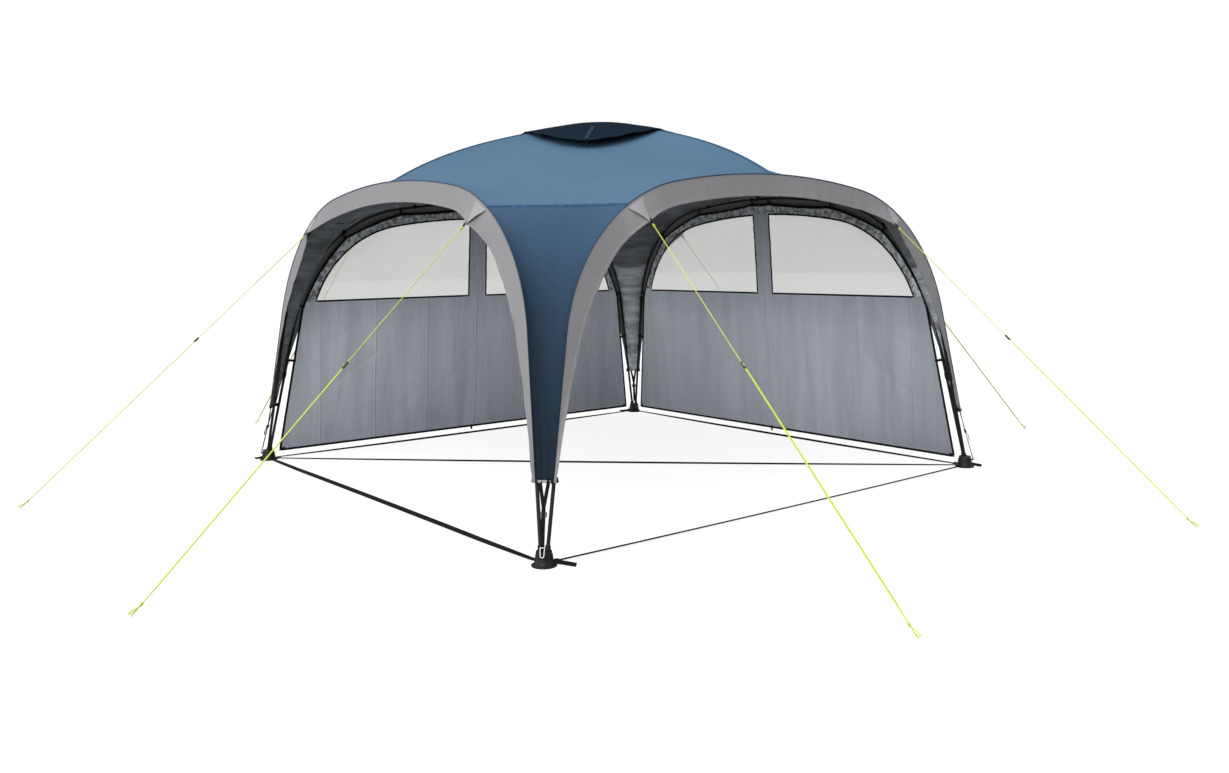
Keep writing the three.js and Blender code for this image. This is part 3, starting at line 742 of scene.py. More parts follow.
def make_camera():
    ahead = Vector(
        (
            math.sin(CAMERA_AZIMUTH) * math.cos(CAMERA_PITCH),
            math.cos(CAMERA_AZIMUTH) * math.cos(CAMERA_PITCH),
            -math.sin(CAMERA_PITCH),
        )
    )
    level = Vector((math.cos(CAMERA_AZIMUTH), -math.sin(CAMERA_AZIMUTH), 0))
    upright = level.cross(ahead)
    right = level * math.cos(CAMERA_ROLL) + upright * math.sin(CAMERA_ROLL)
    up = upright * math.cos(CAMERA_ROLL) - level * math.sin(CAMERA_ROLL)
    data = bpy.data.cameras.new("camera")
    data.sensor_width = SENSOR
    data.lens = FOCAL_PIXELS * SENSOR / IMAGE[0]
    data.shift_x = (IMAGE[0] / 2 - PRINCIPAL_POINT[0]) / IMAGE[0]
    data.shift_y = (PRINCIPAL_POINT[1] - IMAGE[1] / 2) / IMAGE[0]
    data.clip_end = 200
    camera = bpy.data.objects.new("camera", data)
    turn = Matrix((right, up, -ahead)).transposed().to_4x4()
    camera.matrix_world = Matrix.Translation(CAMERA_PLACE) @ turn
    bpy.context.scene.collection.objects.link(camera)
    bpy.context.scene.camera = camera


def make_stage():
    s = Shader("floor")
    clouds = s.spread(s.noise(0.4, 2.0), 0.3, 0.7)
    s.set(Base_Color=s.blend(clouds, (0.14, 0.14, 0.14, 1), (0.16, 0.16, 0.16, 1)))
    s.set(Roughness=0.9, Specular_IOR_Level=0.05, Emission_Color=(1, 1, 1, 1))
    seen = s.node("LightPath").outputs["Is Camera Ray"]
    s.set(Emission_Strength=s.spread(seen, 0.0, 1.0, FLOOR_LIGHT, FLOOR_GLOW))
    data = bpy.data.meshes.new("floor")
    corners = [(x * FLOOR_REACH, y * FLOOR_REACH, 0) for x, y in ((-1, -1), (1, -1), (1, 1), (-1, 1))]
    data.from_pydata(corners, [], [(0, 1, 2, 3)])
    data.materials.append(s.material)
    floor = bpy.data.objects.new("floor", data)
    bpy.context.scene.collection.objects.link(floor)


def make_light():
    world = bpy.data.worlds.new("studio")
    bpy.context.scene.world = world
    world.use_nodes = True
    background = world.node_tree.nodes["Background"]
    background.inputs["Color"].default_value = (1.0, 1.0, 1.0, 1)
    background.inputs["Strength"].default_value = WORLD_LIGHT
    data = bpy.data.lights.new("key", "SUN")
    data.energy = KEY_LIGHT["strength"]
    data.angle = math.radians(KEY_LIGHT["spread"])
    light = bpy.data.objects.new("key", data)
    light.rotation_mode = "QUATERNION"
    light.rotation_quaternion = Vector(KEY_LIGHT["direction"]).to_track_quat("-Z", "Y")
    bpy.context.scene.collection.objects.link(light)
    bpy.context.scene.view_settings.view_transform = "Standard"


make_camera()
make_stage()
make_light()


# ---- Hood shape, which the guylines start from ----
HOOD_CROWN = 0.126  # breadth over the crown
HOOD_LEG = 0.012  # breadth at the hem
HOOD_FULL_HEIGHT = 1.500  # where it has its full breadth
HOOD_OUT = 0.010  # how far its free edge stands in front of the seam
GUY_PULL = 0.056  # how much further it stands out at a guy point
PULL_SPREAD = 0.170
PULL_FOLD = 0.05


def hood_at(run, across):
    """A point of the front hood: `across` 0 at the seam and 1 at the free edge, which guylines pull out."""
    run, across = np.broadcast_arrays(np.asarray(run, float), np.asarray(across, float))
    height = arch_at(run)[1]
    breadth = HOOD_LEG + (HOOD_CROWN - HOOD_LEG) * smoothstep(height, HEM_HEIGHT, HOOD_FULL_HEIGHT)
    away = np.abs(np.abs(run) - GUY_RUN)
    pull = 0.55 * np.exp(-((away / PULL_SPREAD) ** 2)) + 0.45 * np.exp(-away / PULL_FOLD)
    above = (SEAM_OFFSET - SEAM_GAP) * (1 - across) + (SEAM_OFFSET - breadth) * across
    before = SEAM_OFFSET + across * (HOOD_OUT + GUY_PULL * pull)
    return beside_arch(run, above, before)


# ---- Guylines: each a straight taut line from a hood's webbing loop to the ground ----
LINE_STEPS = 24
STRAND_SPACING = 0.0055  # between a guyline and its return from the runner, which lie side by side
TURNED_CORD = GUYLINE / 2 * 0.95  # radius of the cord in a loop and in its turn through a runner
EYE_LENGTH = 0.052  # of the loop at the ground end
KNOT_LENGTH = 0.016
KNOT_RADIUS = 0.0042  # of the helix
KNOT_CORD = 0.0021  # radius
KNOT_STEPS = 14  # for each turn
RUNNER_PLACE = 0.4  # along the line from its upper end
RUNNER_LENGTH = 0.042
RUNNER_SECTION = (0.016, 0.009, 0.0035)  # width, height and corner
RUNNER_HOLES = (0.24, 0.76)  # along the runner, as shares of its length
RUNNER_HOLE_RADIUS = 0.0045
RUNNER_LIP = 0.0044  # height of a hole's rim over the middle


def guyline_ends(side):
    edge = hood_at(side * GUY_RUN, 1.0)
    ground = np.array([side * GUY_GROUND[0], GUY_GROUND[1], GUY_GROUND[2]])
    return edge + unit(ground - edge) * GUY_LOOP, ground


def knot(centre, along, turns=3.0):
    """A small wound knot: a cord wound in a tight helix about the line."""
    side, over = frames(np.array([centre, np.asarray(centre) + along]))
    t = shares(int(turns * KNOT_STEPS))
    angle = 2 * math.pi * turns * t
    path = centre + (t - 0.5) * KNOT_LENGTH * along
    path = path + KNOT_RADIUS * (np.cos(angle) * side[0] + np.sin(angle) * over[0])
    return tube(path, KNOT_CORD, 8)


def eye_loop(start, away, over, width=0.018):
    """A narrow loop of cord that starts and ends at a point."""
    t = shares(26)
    side = unit(np.cross(over, away))
    path = start + EYE_LENGTH * np.sin(math.pi * t) ** 0.8 * away
    return tube(path + width * 0.5 * np.sin(2 * math.pi * t) * side, TURNED_CORD, 8)


def make_guyline(quarter, end):
    top, ground = guyline_ends(end)
    along = unit(ground - top)
    name = end_name(quarter, end)
    knots = knot(top + along * 0.014, along).join(knot(ground - along * 0.06, along, 4.0))
    flat_away = unit(along * (1, 1, 0))
    eye_start = ground - along * EYE_LENGTH
    knots.join(eye_loop(eye_start, unit(along * 0.6 + flat_away * 0.4), UP))
    knots.points[:, 2] = np.maximum(knots.points[:, 2], 0.0004)
    ends = piece(f"guyline_knots_{name}", knots.turn(quarter), guy_cord)
    slider = make_runner(name, top, ground, quarter)
    line = straight(top, ground, LINE_STEPS)
    main = make_strand(f"guyline_cord_{name}", line, quarter)
    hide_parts(f"guyline_{name}")
    level = unit(np.cross(UP, along))
    start = top + (ground - top) * RUNNER_PLACE + along * (RUNNER_LENGTH + 0.004)
    path = straight(start, eye_start, LINE_STEPS)
    apart = np.minimum(1, 12 * shares(LINE_STEPS + 1)[::-1])
    make_strand(f"guyline_return_{name}", path + level * STRAND_SPACING * apart, quarter)


def make_strand(name, path, quarter):
    """One straight strand of a guyline, as a cord."""
    path = turned(path, quarter)
    line = piece(name, tube(path, GUYLINE / 2, 12), guy_cord)
    return line


def make_runner(name, top, ground, quarter):
    """A flat moulded slider with a waist and rounded ends, and a hole through which the line turns."""
    along = unit(ground - top)
    start = top + (ground - top) * RUNNER_PLACE
    side, over = frames(np.array([start, start + along]))
    side, over = side[0], over[0]
    t = np.linspace(0, 1, 15)
    swell = np.sqrt(np.clip(1 - (2 * t - 1) ** 8, 0, 1)) * (1 - 0.22 * np.exp(-(((t - 0.5) / 0.16) ** 2)))
    path = start + t[:, None] * RUNNER_LENGTH * along
    body = sweep(path, side, over, block_section(*RUNNER_SECTION), scale=np.maximum(swell, 0.45))
    for place in RUNNER_HOLES:
        centre = start + along * RUNNER_LENGTH * place
        rim = oval(centre, RUNNER_HOLE_RADIUS * along, RUNNER_HOLE_RADIUS * side, 16)
        for height in (-RUNNER_LIP, RUNNER_LIP):
            body.join(tube(rim + height * over, 0.0011, 8, loop=True))
    slider = piece(
        f"runner_slider_{name}", body.turn(quarter), runner_plastic, f"runner_{name}"
    )
    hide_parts(f"runner_{name}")
    bight = Shape()
    for face in (-1, 1):
        t = shares(14)
        rise = 0.0060 * np.sin(math.pi * t) ** 0.5
        path = start + RUNNER_LENGTH * (0.20 + 0.60 * t) * along
        bight.join(tube(path + face * rise * over + 0.002 * face * side, TURNED_CORD, 8))
    piece(f"runner_bight_{name}", bight.turn(quarter), guy_cord, f"runner_{name}")
    return slider


for quarter in range(4):
    for end in (-1, 1):
        make_guyline(quarter, end)


# ---- Cloth of one corner, from the centre of the roof down to the hem ----
COLUMNS = 48
ROOF_ROWS = 42
SHOULDER_ROWS = 48
PANEL_ROWS = 54
SEAM_ROW = ROOF_ROWS + SHOULDER_ROWS
SEAM_TAPE = 0.0018  # thickness of a flat-felled seam
HEM_TAPE = 0.0042  # thickness of a tape folded over an edge
PIPING_RADIUS = 0.0032
RELAX_PASSES = 4000
LINING_SEAM_HEIGHT = 1.39  # the dark lining of the roof reaches down inside each corner to here


def seam_at(run):
    """The seam over the front arch, where roof cloth, corner panel and hood meet."""
    return beside_arch(run, SEAM_OFFSET, SEAM_OFFSET)


def seam_runs():
    shoulder = np.linspace(0, PANEL_SEAM_RUN, SHOULDER_ROWS + 1)[:-1]
    return np.concatenate([shoulder, np.linspace(PANEL_SEAM_RUN, HEM_RUN, PANEL_ROWS + 1)])


def tensioned_corner():
    """Rows of cloth across the front left corner. Each free point rests at the mean of its neighbours."""
    distance = -seam_at(0.0)[1] * np.arange(ROOF_ROWS) / ROOF_ROWS
    ridge = np.stack([0 * distance, -distance, ridge_height(distance)], axis=1)
    ends = np.concatenate([ridge, seam_at(-seam_runs())])
    t = shares(COLUMNS + 1)
    rows = ends[:, None, [1, 0, 2]] * (1 - t) + ends[:, None] * t
    for _ in range(RELAX_PASSES):
        rows[1:-1, 1:-1] = (rows[:-2, 1:-1] + rows[2:, 1:-1] + rows[1:-1, :-2] + rows[1:-1, 2:]) / 4
        rows[SEAM_ROW, 1:-1, 2] = rows[SEAM_ROW, 0, 2]
    return rows


corner = tensioned_corner()


def weld(points, faces, uvs):
    """Joins points that lie together, as where two quarters of the roof meet."""
    keys = np.round(points / 2e-5).astype(np.int64)
    _, first, where = np.unique(keys, axis=0, return_index=True, return_inverse=True)
    where = where.reshape(-1)
    made = []
    for face in faces:
        ring = [int(where[k]) for k in face]
        ring = [k for i, k in enumerate(ring) if k != ring[i - 1]]
        if len(ring) > 2:
            made.append(tuple(ring))
    return points[first], made, uvs[first]


def seam_pucker(rows, height=0.0011, pitch=0.034, reach=0.05):
    """Offsets for the points of a grid: small gathers across its two sewn edges, which die away from them."""
    across = np.linalg.norm(np.diff(rows, axis=1), axis=2)
    from_left = np.concatenate([np.zeros((len(rows), 1)), np.cumsum(across, axis=1)], axis=1)
    from_right = from_left[:, -1:] - from_left
    along = np.concatenate([[0], np.cumsum(np.linalg.norm(np.diff(rows[:, 0], axis=0), axis=1))])[:, None]
    made = 0
    for away, phase in ((from_left, 0.0), (from_right, 1.7)):
        gather = np.sin(2 * math.pi * along / pitch + phase + 2.2 * np.sin(along / pitch / 2.7))
        made = made + height * gather * np.exp(-away / reach) * smoothstep(away, 0.0, 0.012)
    return made


def grid_normals(rows):
    return unit(np.cross(np.gradient(rows, axis=1), np.gradient(rows, axis=0)))


def roof_rows():
    """The quarter roof, with soft hollows and gathers along its seams."""
    rows = corner[: SEAM_ROW + 1].copy()
    flat = rows[..., :2]
    soft = 0.0035 * wander(flat - [3.1, 1.7], 0.55, 4) + 0.0012 * wander(flat, 0.16, 9)
    m, n = rows.shape[:2]
    edge = np.minimum(np.arange(n), np.arange(n)[::-1])[None, :] / (n / 2)
    soft = soft * smoothstep(edge, 0, 0.35) * smoothstep(np.arange(m)[::-1, None] / m, 0, 0.12)
    return rows + (soft + seam_pucker(rows))[..., None] * -grid_normals(rows)


def make_canopy():
    quarter_rows = roof_rows()
    points, faces, _ = grid(quarter_rows)
    every, all_faces = [], []
    for quarter in range(4):
        base = quarter * len(points)
        every.append(turned(points, quarter))
        all_faces += [tuple(base + k for k in face) for face in faces]
    every = np.concatenate(every)
    every, all_faces, uvs = weld(every, all_faces, every[:, :2])
    shape = thicken(every, all_faces, uvs, away_from=(0, 0, -1))
    roof = piece("canopy_cloth", shape, [roof_cloth, lining, roof_cloth], sharp=80)
    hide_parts("roof_canopy")
    area = 4 * area_of(points, faces)


def make_panel(i):
    """A corner panel with its hem tape. The left two are dark inside all over, which is painted shade; the
    others only above a seam.
    """
    name = CORNERS[i]
    rows = corner[SEAM_ROW:].copy()
    rows[0] += unit(rows[1] - rows[0]) * SEAM_GAP
    m, n = rows.shape[:2]
    across = np.linspace(-1, 1, n)[None, :]
    low = smoothstep(np.arange(m)[:, None] / m, 0.45, 1.0)
    sway = 1.3 * wander(rows[:, :1, 2:], 0.5, 3)
    pleats = 0.0022 * low * np.cos(across * 9.0 + sway) * (1 - across**2)
    soft = 0.0030 * wander(rows + [i * 2.3, 0, 0], 0.38, 21 + i) * (1 - across**2)
    rows = rows + (pleats + soft + seam_pucker(rows))[..., None] * -grid_normals(rows)
    points, faces, uvs = grid(rows)
    shape = thicken(points, faces, uvs, away_from=(-0.9, -0.9, 1.0)).turn(i)
    lined_rows = int((rows[:, :, 2].mean(axis=1) > LINING_SEAM_HEIGHT).sum())
    # Painted shade: the left two corners take the dark lining all over inside, as they face away from the
    # light.
    lining_and_painted_shade_faces = lined_rows * (n - 1) if i in (1, 2) else len(faces)
    for k in range(lining_and_painted_shade_faces):
        shape.slots[len(faces) + k] = 3
    materials = [panel_cloth, panel_lining, panel_cloth, lining]
    panel = piece(f"panel_cloth_{name}", shape, materials, sharp=80)
    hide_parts(f"leg_panel_{name}")
    hem = hem_of(rows[-1], f"panel_hem_{name}", i)
    area_of(points, faces)


def hem_of(edge, name, i):
    """A pale tape folded over the lower edge of a corner panel."""
    shape = sweep(edge + 0.005 * UP, UP, CORNER_OUT, tape_section(0.014, HEM_TAPE))
    return piece(name, shape.turn(i), hem_tape)


def make_hem_clips(i):
    """A black webbing tab and side-release clip at each end of a panel's hem, turned into the archway."""
    shape = Shape()
    for column, inwards in ((0, (0, 0.8, 0.1)), (-1, (0.8, 0, 0.1))):
        inwards = unit(inwards)
        start = corner[-1, column] + 0.006 * UP
        path = straight(start - inwards * 0.012, start + inwards * 0.030, 3)
        side = unit(np.cross(inwards, CORNER_OUT))
        over = np.cross(inwards, side)
        shape.join(sweep(path, side, over, tape_section(0.020, 0.0036)))
        shape.join(sweep(path[2:] + over * 0.001, side, over, block_section(0.026, 0.010, 0.003)))
    piece(f"hem_clips_{CORNERS[i]}", shape.turn(i), plastic)


make_canopy()
for i in range(4):
    make_panel(i)
    make_hem_clips(i)


def make_roof_seams(quarter):
    """Flat-felled seams over a roof pole and above a corner panel, and the piping along an arch."""
    ridge = corner[4 : ROOF_ROWS + 1, -1]
    path = turned(ridge + 0.0012 * UP, quarter)
    side = turned(np.array([1.0, 0, 0]), quarter)
    over = unit(np.cross(side, unit(np.gradient(path, axis=0))))
    shape = sweep(path, side, over, tape_section(0.016, SEAM_TAPE))
    piece(f"ridge_seam_{SIDES[quarter]}", shape, roof_seam)
    out = -grid_normals(corner[SEAM_ROW - 1 : SEAM_ROW + 2])[1]
    down = unit(corner[SEAM_ROW + 1] - corner[SEAM_ROW])
    path = corner[SEAM_ROW] + 0.0016 * out + 0.004 * down
    shape = sweep(path, down, out, tape_section(0.015, SEAM_TAPE))
    piece(f"panel_seam_{CORNERS[quarter]}", shape.turn(quarter), blue_seam)
    path = beside_arch(np.linspace(-HEM_RUN, HEM_RUN, 260), SEAM_OFFSET + 0.0005, SEAM_OFFSET + 0.0005)
    # The dark piping is partly painted shadow, a dark line along the arch's seam, and it also covers the gap
    # between the cloths.
    piping = tube(path, PIPING_RADIUS, 10)
    piece(f"arch_piping_{SIDES[quarter]}", piping.turn(quarter), panel_cloth)


for quarter in range(4):
    make_roof_seams(quarter)


# ---- Hoods, with a gusset and a webbing loop at each guy point ----
HOOD_ROWS = 13
HOOD_STEPS = 300
GUSSET_ROWS = 13
GUSSET_COLUMNS = 11


def make_hood(quarter):
    side = SIDES[quarter]
    runs = np.linspace(-HEM_RUN, HEM_RUN, HOOD_STEPS)
    across = np.linspace(0, 1, HOOD_ROWS)[:, None]
    rows = hood_at(runs[None, :], across)
    free = across**1.5
    flutter = 0.0035 * np.sin(runs * 7.0 + quarter) + 0.0025 * wander(runs[:, None], 0.12, 40 + quarter)
    gather = 0.0009 * np.sin(2 * math.pi * runs / 0.031) * np.exp(-across / 0.18)
    rows = rows + (free * flutter + gather * smoothstep(across, 0, 0.1))[..., None] * FRONT_OUT
    points, faces, uvs = grid(rows)
    shape = thicken(points, faces, uvs, away_from=(0, 0, 0.9)).turn(quarter)
    hood = piece(f"hood_cloth_{side}", shape, hood_cloth, sharp=80)
    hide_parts(f"hood_{side}")
    inwards = unit(rows[-2] - rows[-1])
    hem = sweep(rows[-1] + inwards * 0.007, inwards, FRONT_OUT, tape_section(0.016, HEM_TAPE)).turn(quarter)
    hem = piece(f"hood_hem_{side}", hem, hood_cloth)
    area_of(points, faces)
    for end in (-1, 1):
        make_gusset(quarter, end)


def make_gusset(quarter, end):
    """A triangle sewn over the hood, from the arch's seam to the guy point, in cloth paler than the hood's as
    a painted highlight on the lit face of the pleat, and its webbing loop.
    """
    name = end_name(quarter, end)
    rows = []
    for down in np.linspace(0, 1, GUSSET_ROWS):
        upwards, downwards = (wide * (1 - down) + 0.006 * down for wide in (0.072, 0.046))
        runs = GUY_RUN + np.linspace(-upwards, downwards, GUSSET_COLUMNS)
        rows.append(hood_at(end * runs, 0.08 + 0.91 * down))
    raised = 0.012 * shares(GUSSET_COLUMNS).T ** 4 * np.sin(math.pi * shares(GUSSET_ROWS))
    rows = np.array(rows) + FRONT_OUT * (0.0035 + raised[..., None])
    shape = thicken(*grid(rows), thickness=0.0012, away_from=(0, 0, 0.9))
    piece(f"guy_gusset_{name}", shape.turn(quarter), gusset_cloth, sharp=80)
    top, ground = guyline_ends(end)
    along = unit(ground - top)
    edge = hood_at(end * GUY_RUN, 1.0)
    side = unit(np.cross(along, UP))
    steps = ((-0.030, 0.006), (0.002, 0.006), (GUY_LOOP + 0.004, 0), (0.002, -0.004), (-0.026, -0.004))
    loop = rounded_path([edge + along * ahead + FRONT_OUT * out for ahead, out in steps], 0.005)
    over = np.cross(unit(np.gradient(loop, axis=0)), side)
    shape = sweep(loop, side, over, tape_section(0.012, 0.0016))
    piece(f"guy_loop_{name}", shape.turn(quarter), webbing)


for quarter in range(4):
    make_hood(quarter)


# ---- Vent cap ----
CAP_HALF = 0.620
CAP_POWER = 5  # the outline is |x|^5 + |y|^5 = half^5
CAP_LIFT = 0.012
CAP_CORNER_LIFT = 0.030
CAP_STEPS = 160
CAP_RINGS = 32


def cap_height(x, y):
    corner_share = np.abs(x * y) / CAP_HALF**2
    return ridge_height(np.abs(x) + np.abs(y)) + CAP_LIFT + CAP_CORNER_LIFT * corner_share


def cap_reach(angle):
    """From the centre to the cap's edge: a square with round corners."""
    outline = np.abs(np.cos(angle)) ** CAP_POWER + np.abs(np.sin(angle)) ** CAP_POWER
    return CAP_HALF / outline ** (1 / CAP_POWER)


def make_cap():
    angles = np.arange(CAP_STEPS) * 2 * math.pi / CAP_STEPS
    share = shares(CAP_RINGS + 1)[1:]
    x = share * cap_reach(angles) * np.cos(angles)
    y = share * cap_reach(angles) * np.sin(angles)
    soft = 0.0030 * wander(np.stack([x, y], axis=-1), 0.22, 77) * (1 - share**4)
    edge_wave = 0.0025 * share**6 * np.sin(angles * 22)
    rows = np.stack([x, y, cap_height(x, y) + soft + edge_wave], axis=-1)
    points, faces, _ = grid(rows, loop=True)
    centre = len(points)
    points = np.concatenate([points, [(0, 0, cap_height(0, 0))]])
    faces += [(i, (i + 1) % len(angles), centre) for i in range(len(angles))]
    shape = thicken(points, faces, points[:, :2], away_from=(0, 0, -1))
    cap = piece("cap_cloth_sheet", shape, cap_cloth, sharp=80)
    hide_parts("vent_cap")
    border = rows[-1]
    outwards = unit(border * (1, 1, 0))
    hem = sweep(border - outwards * 0.007, outwards, UP, tape_section(0.016, 0.004), loop=True)
    pieces = [piece("cap_hem", hem, cap_cloth)]
    for quarter in range(4):
        corner_reach = cap_reach(math.pi / 4) * math.sqrt(0.5)
        x = -corner_reach * np.linspace(0.45, 0.985, 30)
        path = np.stack([x, x, cap_height(x, x) + 0.0035], axis=1)
        tape = sweep(path, CORNER_ACROSS, UP, tape_section(0.026, 0.002))
        pieces.append(piece(f"cap_corner_tape_{CORNERS[quarter]}", tape.turn(quarter), cap_tape))
        top = path[-3] - (0, 0, 0.006)
        foot = (top[0], top[1], roof_height(top[0], top[1]) + 0.002)
        prop = tube(straight(foot, top, 4), 0.004, 10)
        pieces.append(piece(f"cap_prop_{CORNERS[quarter]}", prop.turn(quarter), rod_black))


def roof_height(x, y):
    """The roof cloth's height near a point of the front left corner."""
    flat = corner[: SEAM_ROW + 1].reshape(-1, 3)
    return flat[np.argmin(np.hypot(flat[:, 0] - x, flat[:, 1] - y)), 2]


make_cap()


# ---- Walls, windows and their black bindings ----
WALL_INSET = 0.040
WALL_BOTTOM = 0.060
WALL_BOTTOM_HALF = 1.659
WINDOW_INSET = 0.120
WINDOW_BOTTOM = 1.155
WINDOW_INNER = 0.080
WINDOW_TOP = ARCH_TOP - WINDOW_INSET
WALL_CELL = 0.018
WINDOW_CELL = 0.045
FILM = 0.0006  # thickness
TOGGLE_RUNS = (
    float(CROWN_RADIUS * math.asin(0.0875 / CROWN_RADIUS)),
    float(CROWN_RADIUS * math.asin(0.70 / CROWN_RADIUS)),
    run_at_height(1.65),
    run_at_height(1.13),
    run_at_height(0.73),
)
BEHIND_WALL = (0.0, 3.0, 1.0)  # a point on the inner side of the front arch's plane
TAB_OVERLAP = 0.012  # of a tab over the wall's edge, and of its clip each way along the pole
CLIP_ON_ROD = 0.0105  # radius
CLIP_ON_TUBE = 0.0135
LEG_GAP = 0.037  # more between the pole and the wall's edge at the bottom of a leg
SCALLOP = 0.020  # how far the wall's edge hangs away from the arch between toggles


def edge_dip(run):
    """How far the wall's top edge sags from its line at each run, between the toggles that hold it up."""
    length = np.abs(np.asarray(run, float))
    stops = np.array((-TOGGLE_RUNS[0], *TOGGLE_RUNS[:4]))
    upper = np.searchsorted(stops, length).clip(1, len(stops) - 1)
    low, high = stops[upper - 1], stops[upper]
    share = np.clip((length - low) / (high - low), 0, 1)
    return SCALLOP * np.sin(math.pi * share) ** 0.8 * np.minimum((high - low) / 0.5, 1)


def wall_outline():
    """The wall's edge in its plane, from the bottom left corner, anticlockwise."""
    runs = np.linspace(run_at_height(LEG_TOP), 0, 70)
    x, y, out_x, out_y = arch_at(runs)
    inset = WALL_INSET + edge_dip(runs)
    half = np.stack([x - inset * out_x, y - inset * out_y], axis=1)
    bottom = straight((-WALL_BOTTOM_HALF, WALL_BOTTOM), (WALL_BOTTOM_HALF, WALL_BOTTOM), 180)
    side = straight((WALL_BOTTOM_HALF, WALL_BOTTOM), half[0], 60)
    right = np.concatenate([side[1:-1], half])
    left = right[:-1][::-1] * (-1, 1)
    return np.concatenate([bottom, right, left])


def window_outline(side):
    """A window's edge in the wall's plane: straight below and at the middle, and along the arch elsewhere."""
    runs = np.linspace(run_at_height(WINDOW_BOTTOM), 0, 300)
    x, y, out_x, out_y = arch_at(runs)
    arc = np.stack([x - WINDOW_INSET * out_x, y - WINDOW_INSET * out_y], axis=1)
    arc = arc[(arc[:, 0] > WINDOW_INNER) & (arc[:, 1] > WINDOW_BOTTOM)][::4]
    corner_top = np.array([WINDOW_INNER, arc[-1, 1]])
    low = straight((WINDOW_INNER, WINDOW_BOTTOM), (arc[0, 0], WINDOW_BOTTOM), 70)
    upright = straight(corner_top, (WINDOW_INNER, WINDOW_BOTTOM), 36)
    made = np.concatenate([low[:-1], arc, upright[:-1]])
    return made if side > 0 else (made * (-1, 1))[::-1]


def inside(points, outline):
    """Whether each point is inside a closed outline."""
    a, b = outline, np.roll(outline, -1, axis=0)
    x, y = points[:, None, 0], points[:, None, 1]
    crosses = (a[:, 1] > y) != (b[:, 1] > y)
    rise = np.where(b[:, 1] == a[:, 1], 1e-12, b[:, 1] - a[:, 1])
    return (crosses & (x < (b[:, 0] - a[:, 0]) * (y - a[:, 1]) / rise + a[:, 0])).sum(axis=1) % 2 == 1


def distance_to(points, outline):
    """Each point's distance to the nearest point of an outline."""
    made = np.empty(len(points))
    for start in range(0, len(points), 4000):
        part = points[start : start + 4000]
        made[start : start + 4000] = np.linalg.norm(part[:, None] - outline[None], axis=2).min(axis=1)
    return made


def filled(outline, holes, cell):
    """Points and triangles over an outline with holes, on an even triangular grid."""
    low, high = outline.min(axis=0), outline.max(axis=0)
    rows = np.arange(low[1], high[1], cell * 0.87)
    columns = np.arange(low[0], high[0], cell)
    x, y = np.meshgrid(columns, rows)
    x = x + (np.arange(len(rows)) % 2)[:, None] * cell / 2
    spots = np.stack([x.ravel(), y.ravel()], axis=1)
    keep = inside(spots, outline)
    for hole in holes:
        keep &= ~inside(spots, hole)
    for line in (outline, *holes):
        keep[keep] = distance_to(spots[keep], line) > cell * 0.55
    points = np.concatenate([outline, *holes, spots[keep]])
    edges, base = [], 0
    for line in (outline, *holes):
        edges += [(base + i, base + (i + 1) % len(line)) for i in range(len(line))]
        base += len(line)
    found = delaunay_2d_cdt([Vector(p) for p in points], edges, [], 0, 1e-7, False)
    points = np.array([tuple(p) for p in found[0]])
    faces = np.array([tuple(f) for f in found[2]])
    middles = points[faces].mean(axis=1)
    keep = inside(middles, outline)
    for hole in holes:
        keep &= ~inside(middles, hole)
    return points, [tuple(int(k) for k in f) for f in faces[keep]]


CREASE_WIDTH = 0.022
CREASES = (  # tension creases across a wall: two ends in its plane, and the height of the fold
    ((-1.60, 0.30), (-0.55, 0.95), 0.00396),
    ((-1.62, 0.62), (-0.85, 1.10), 0.00324),
    ((1.60, 0.25), (0.70, 1.05), 0.00396),
    ((1.58, 0.70), (1.00, 1.12), 0.00324),
    ((0.30, 1.10), (-0.45, 0.25), 0.00288),
    ((0.95, 0.12), (0.20, 0.70), 0.00288),
    ((-0.90, 0.10), (-0.30, 0.62), 0.00252),
    ((1.30, 0.10), (1.05, 1.05), 0.00360),
    ((-1.25, 0.12), (-1.05, 1.00), 0.00324),
)


def crease(spots, start, end, height):
    """A soft-edged fold along a line, highest at its middle."""
    start, end = np.array(start), np.array(end)
    line = end - start
    share = np.clip(((spots - start) @ line) / (line @ line), 0, 1)
    away = np.linalg.norm(spots - start - share[:, None] * line, axis=1)
    return height * np.exp(-((away / CREASE_WIDTH) ** 2)) * np.sin(math.pi * share)


def wall_bulge(spots, seed, outline):
    """How far the wall's cloth stands out of its plane: upright folds, creases, and crinkles at the top."""
    x, y = spots[:, 0], spots[:, 1]
    held = smoothstep(distance_to(spots, outline), 0.0, 0.10)
    below = 1 - smoothstep(y, WINDOW_BOTTOM - 0.10, WINDOW_BOTTOM)
    upright = 0.0060 * wander(np.stack([x, y * 0.10], axis=1), 0.20, seed)
    upright = upright * (0.35 + 0.65 * smoothstep(y, 0.1, 0.8))
    made = held * (below * upright + 0.0072 * wander(spots, 0.75, seed + 1))
    for start, end, height in CREASES:
        made = made + held * crease(spots * (1 if seed % 2 else -1, 1), start, end, height)
    crinkle = 0.0030 * wander(spots, 0.055, seed + 2) + 0.0020 * wander(spots, 0.030, seed + 3)
    band = smoothstep(y, WINDOW_BOTTOM - 0.02, WINDOW_BOTTOM + 0.25)
    return made + crinkle * band * smoothstep(distance_to(spots, outline), 0.0, 0.015)


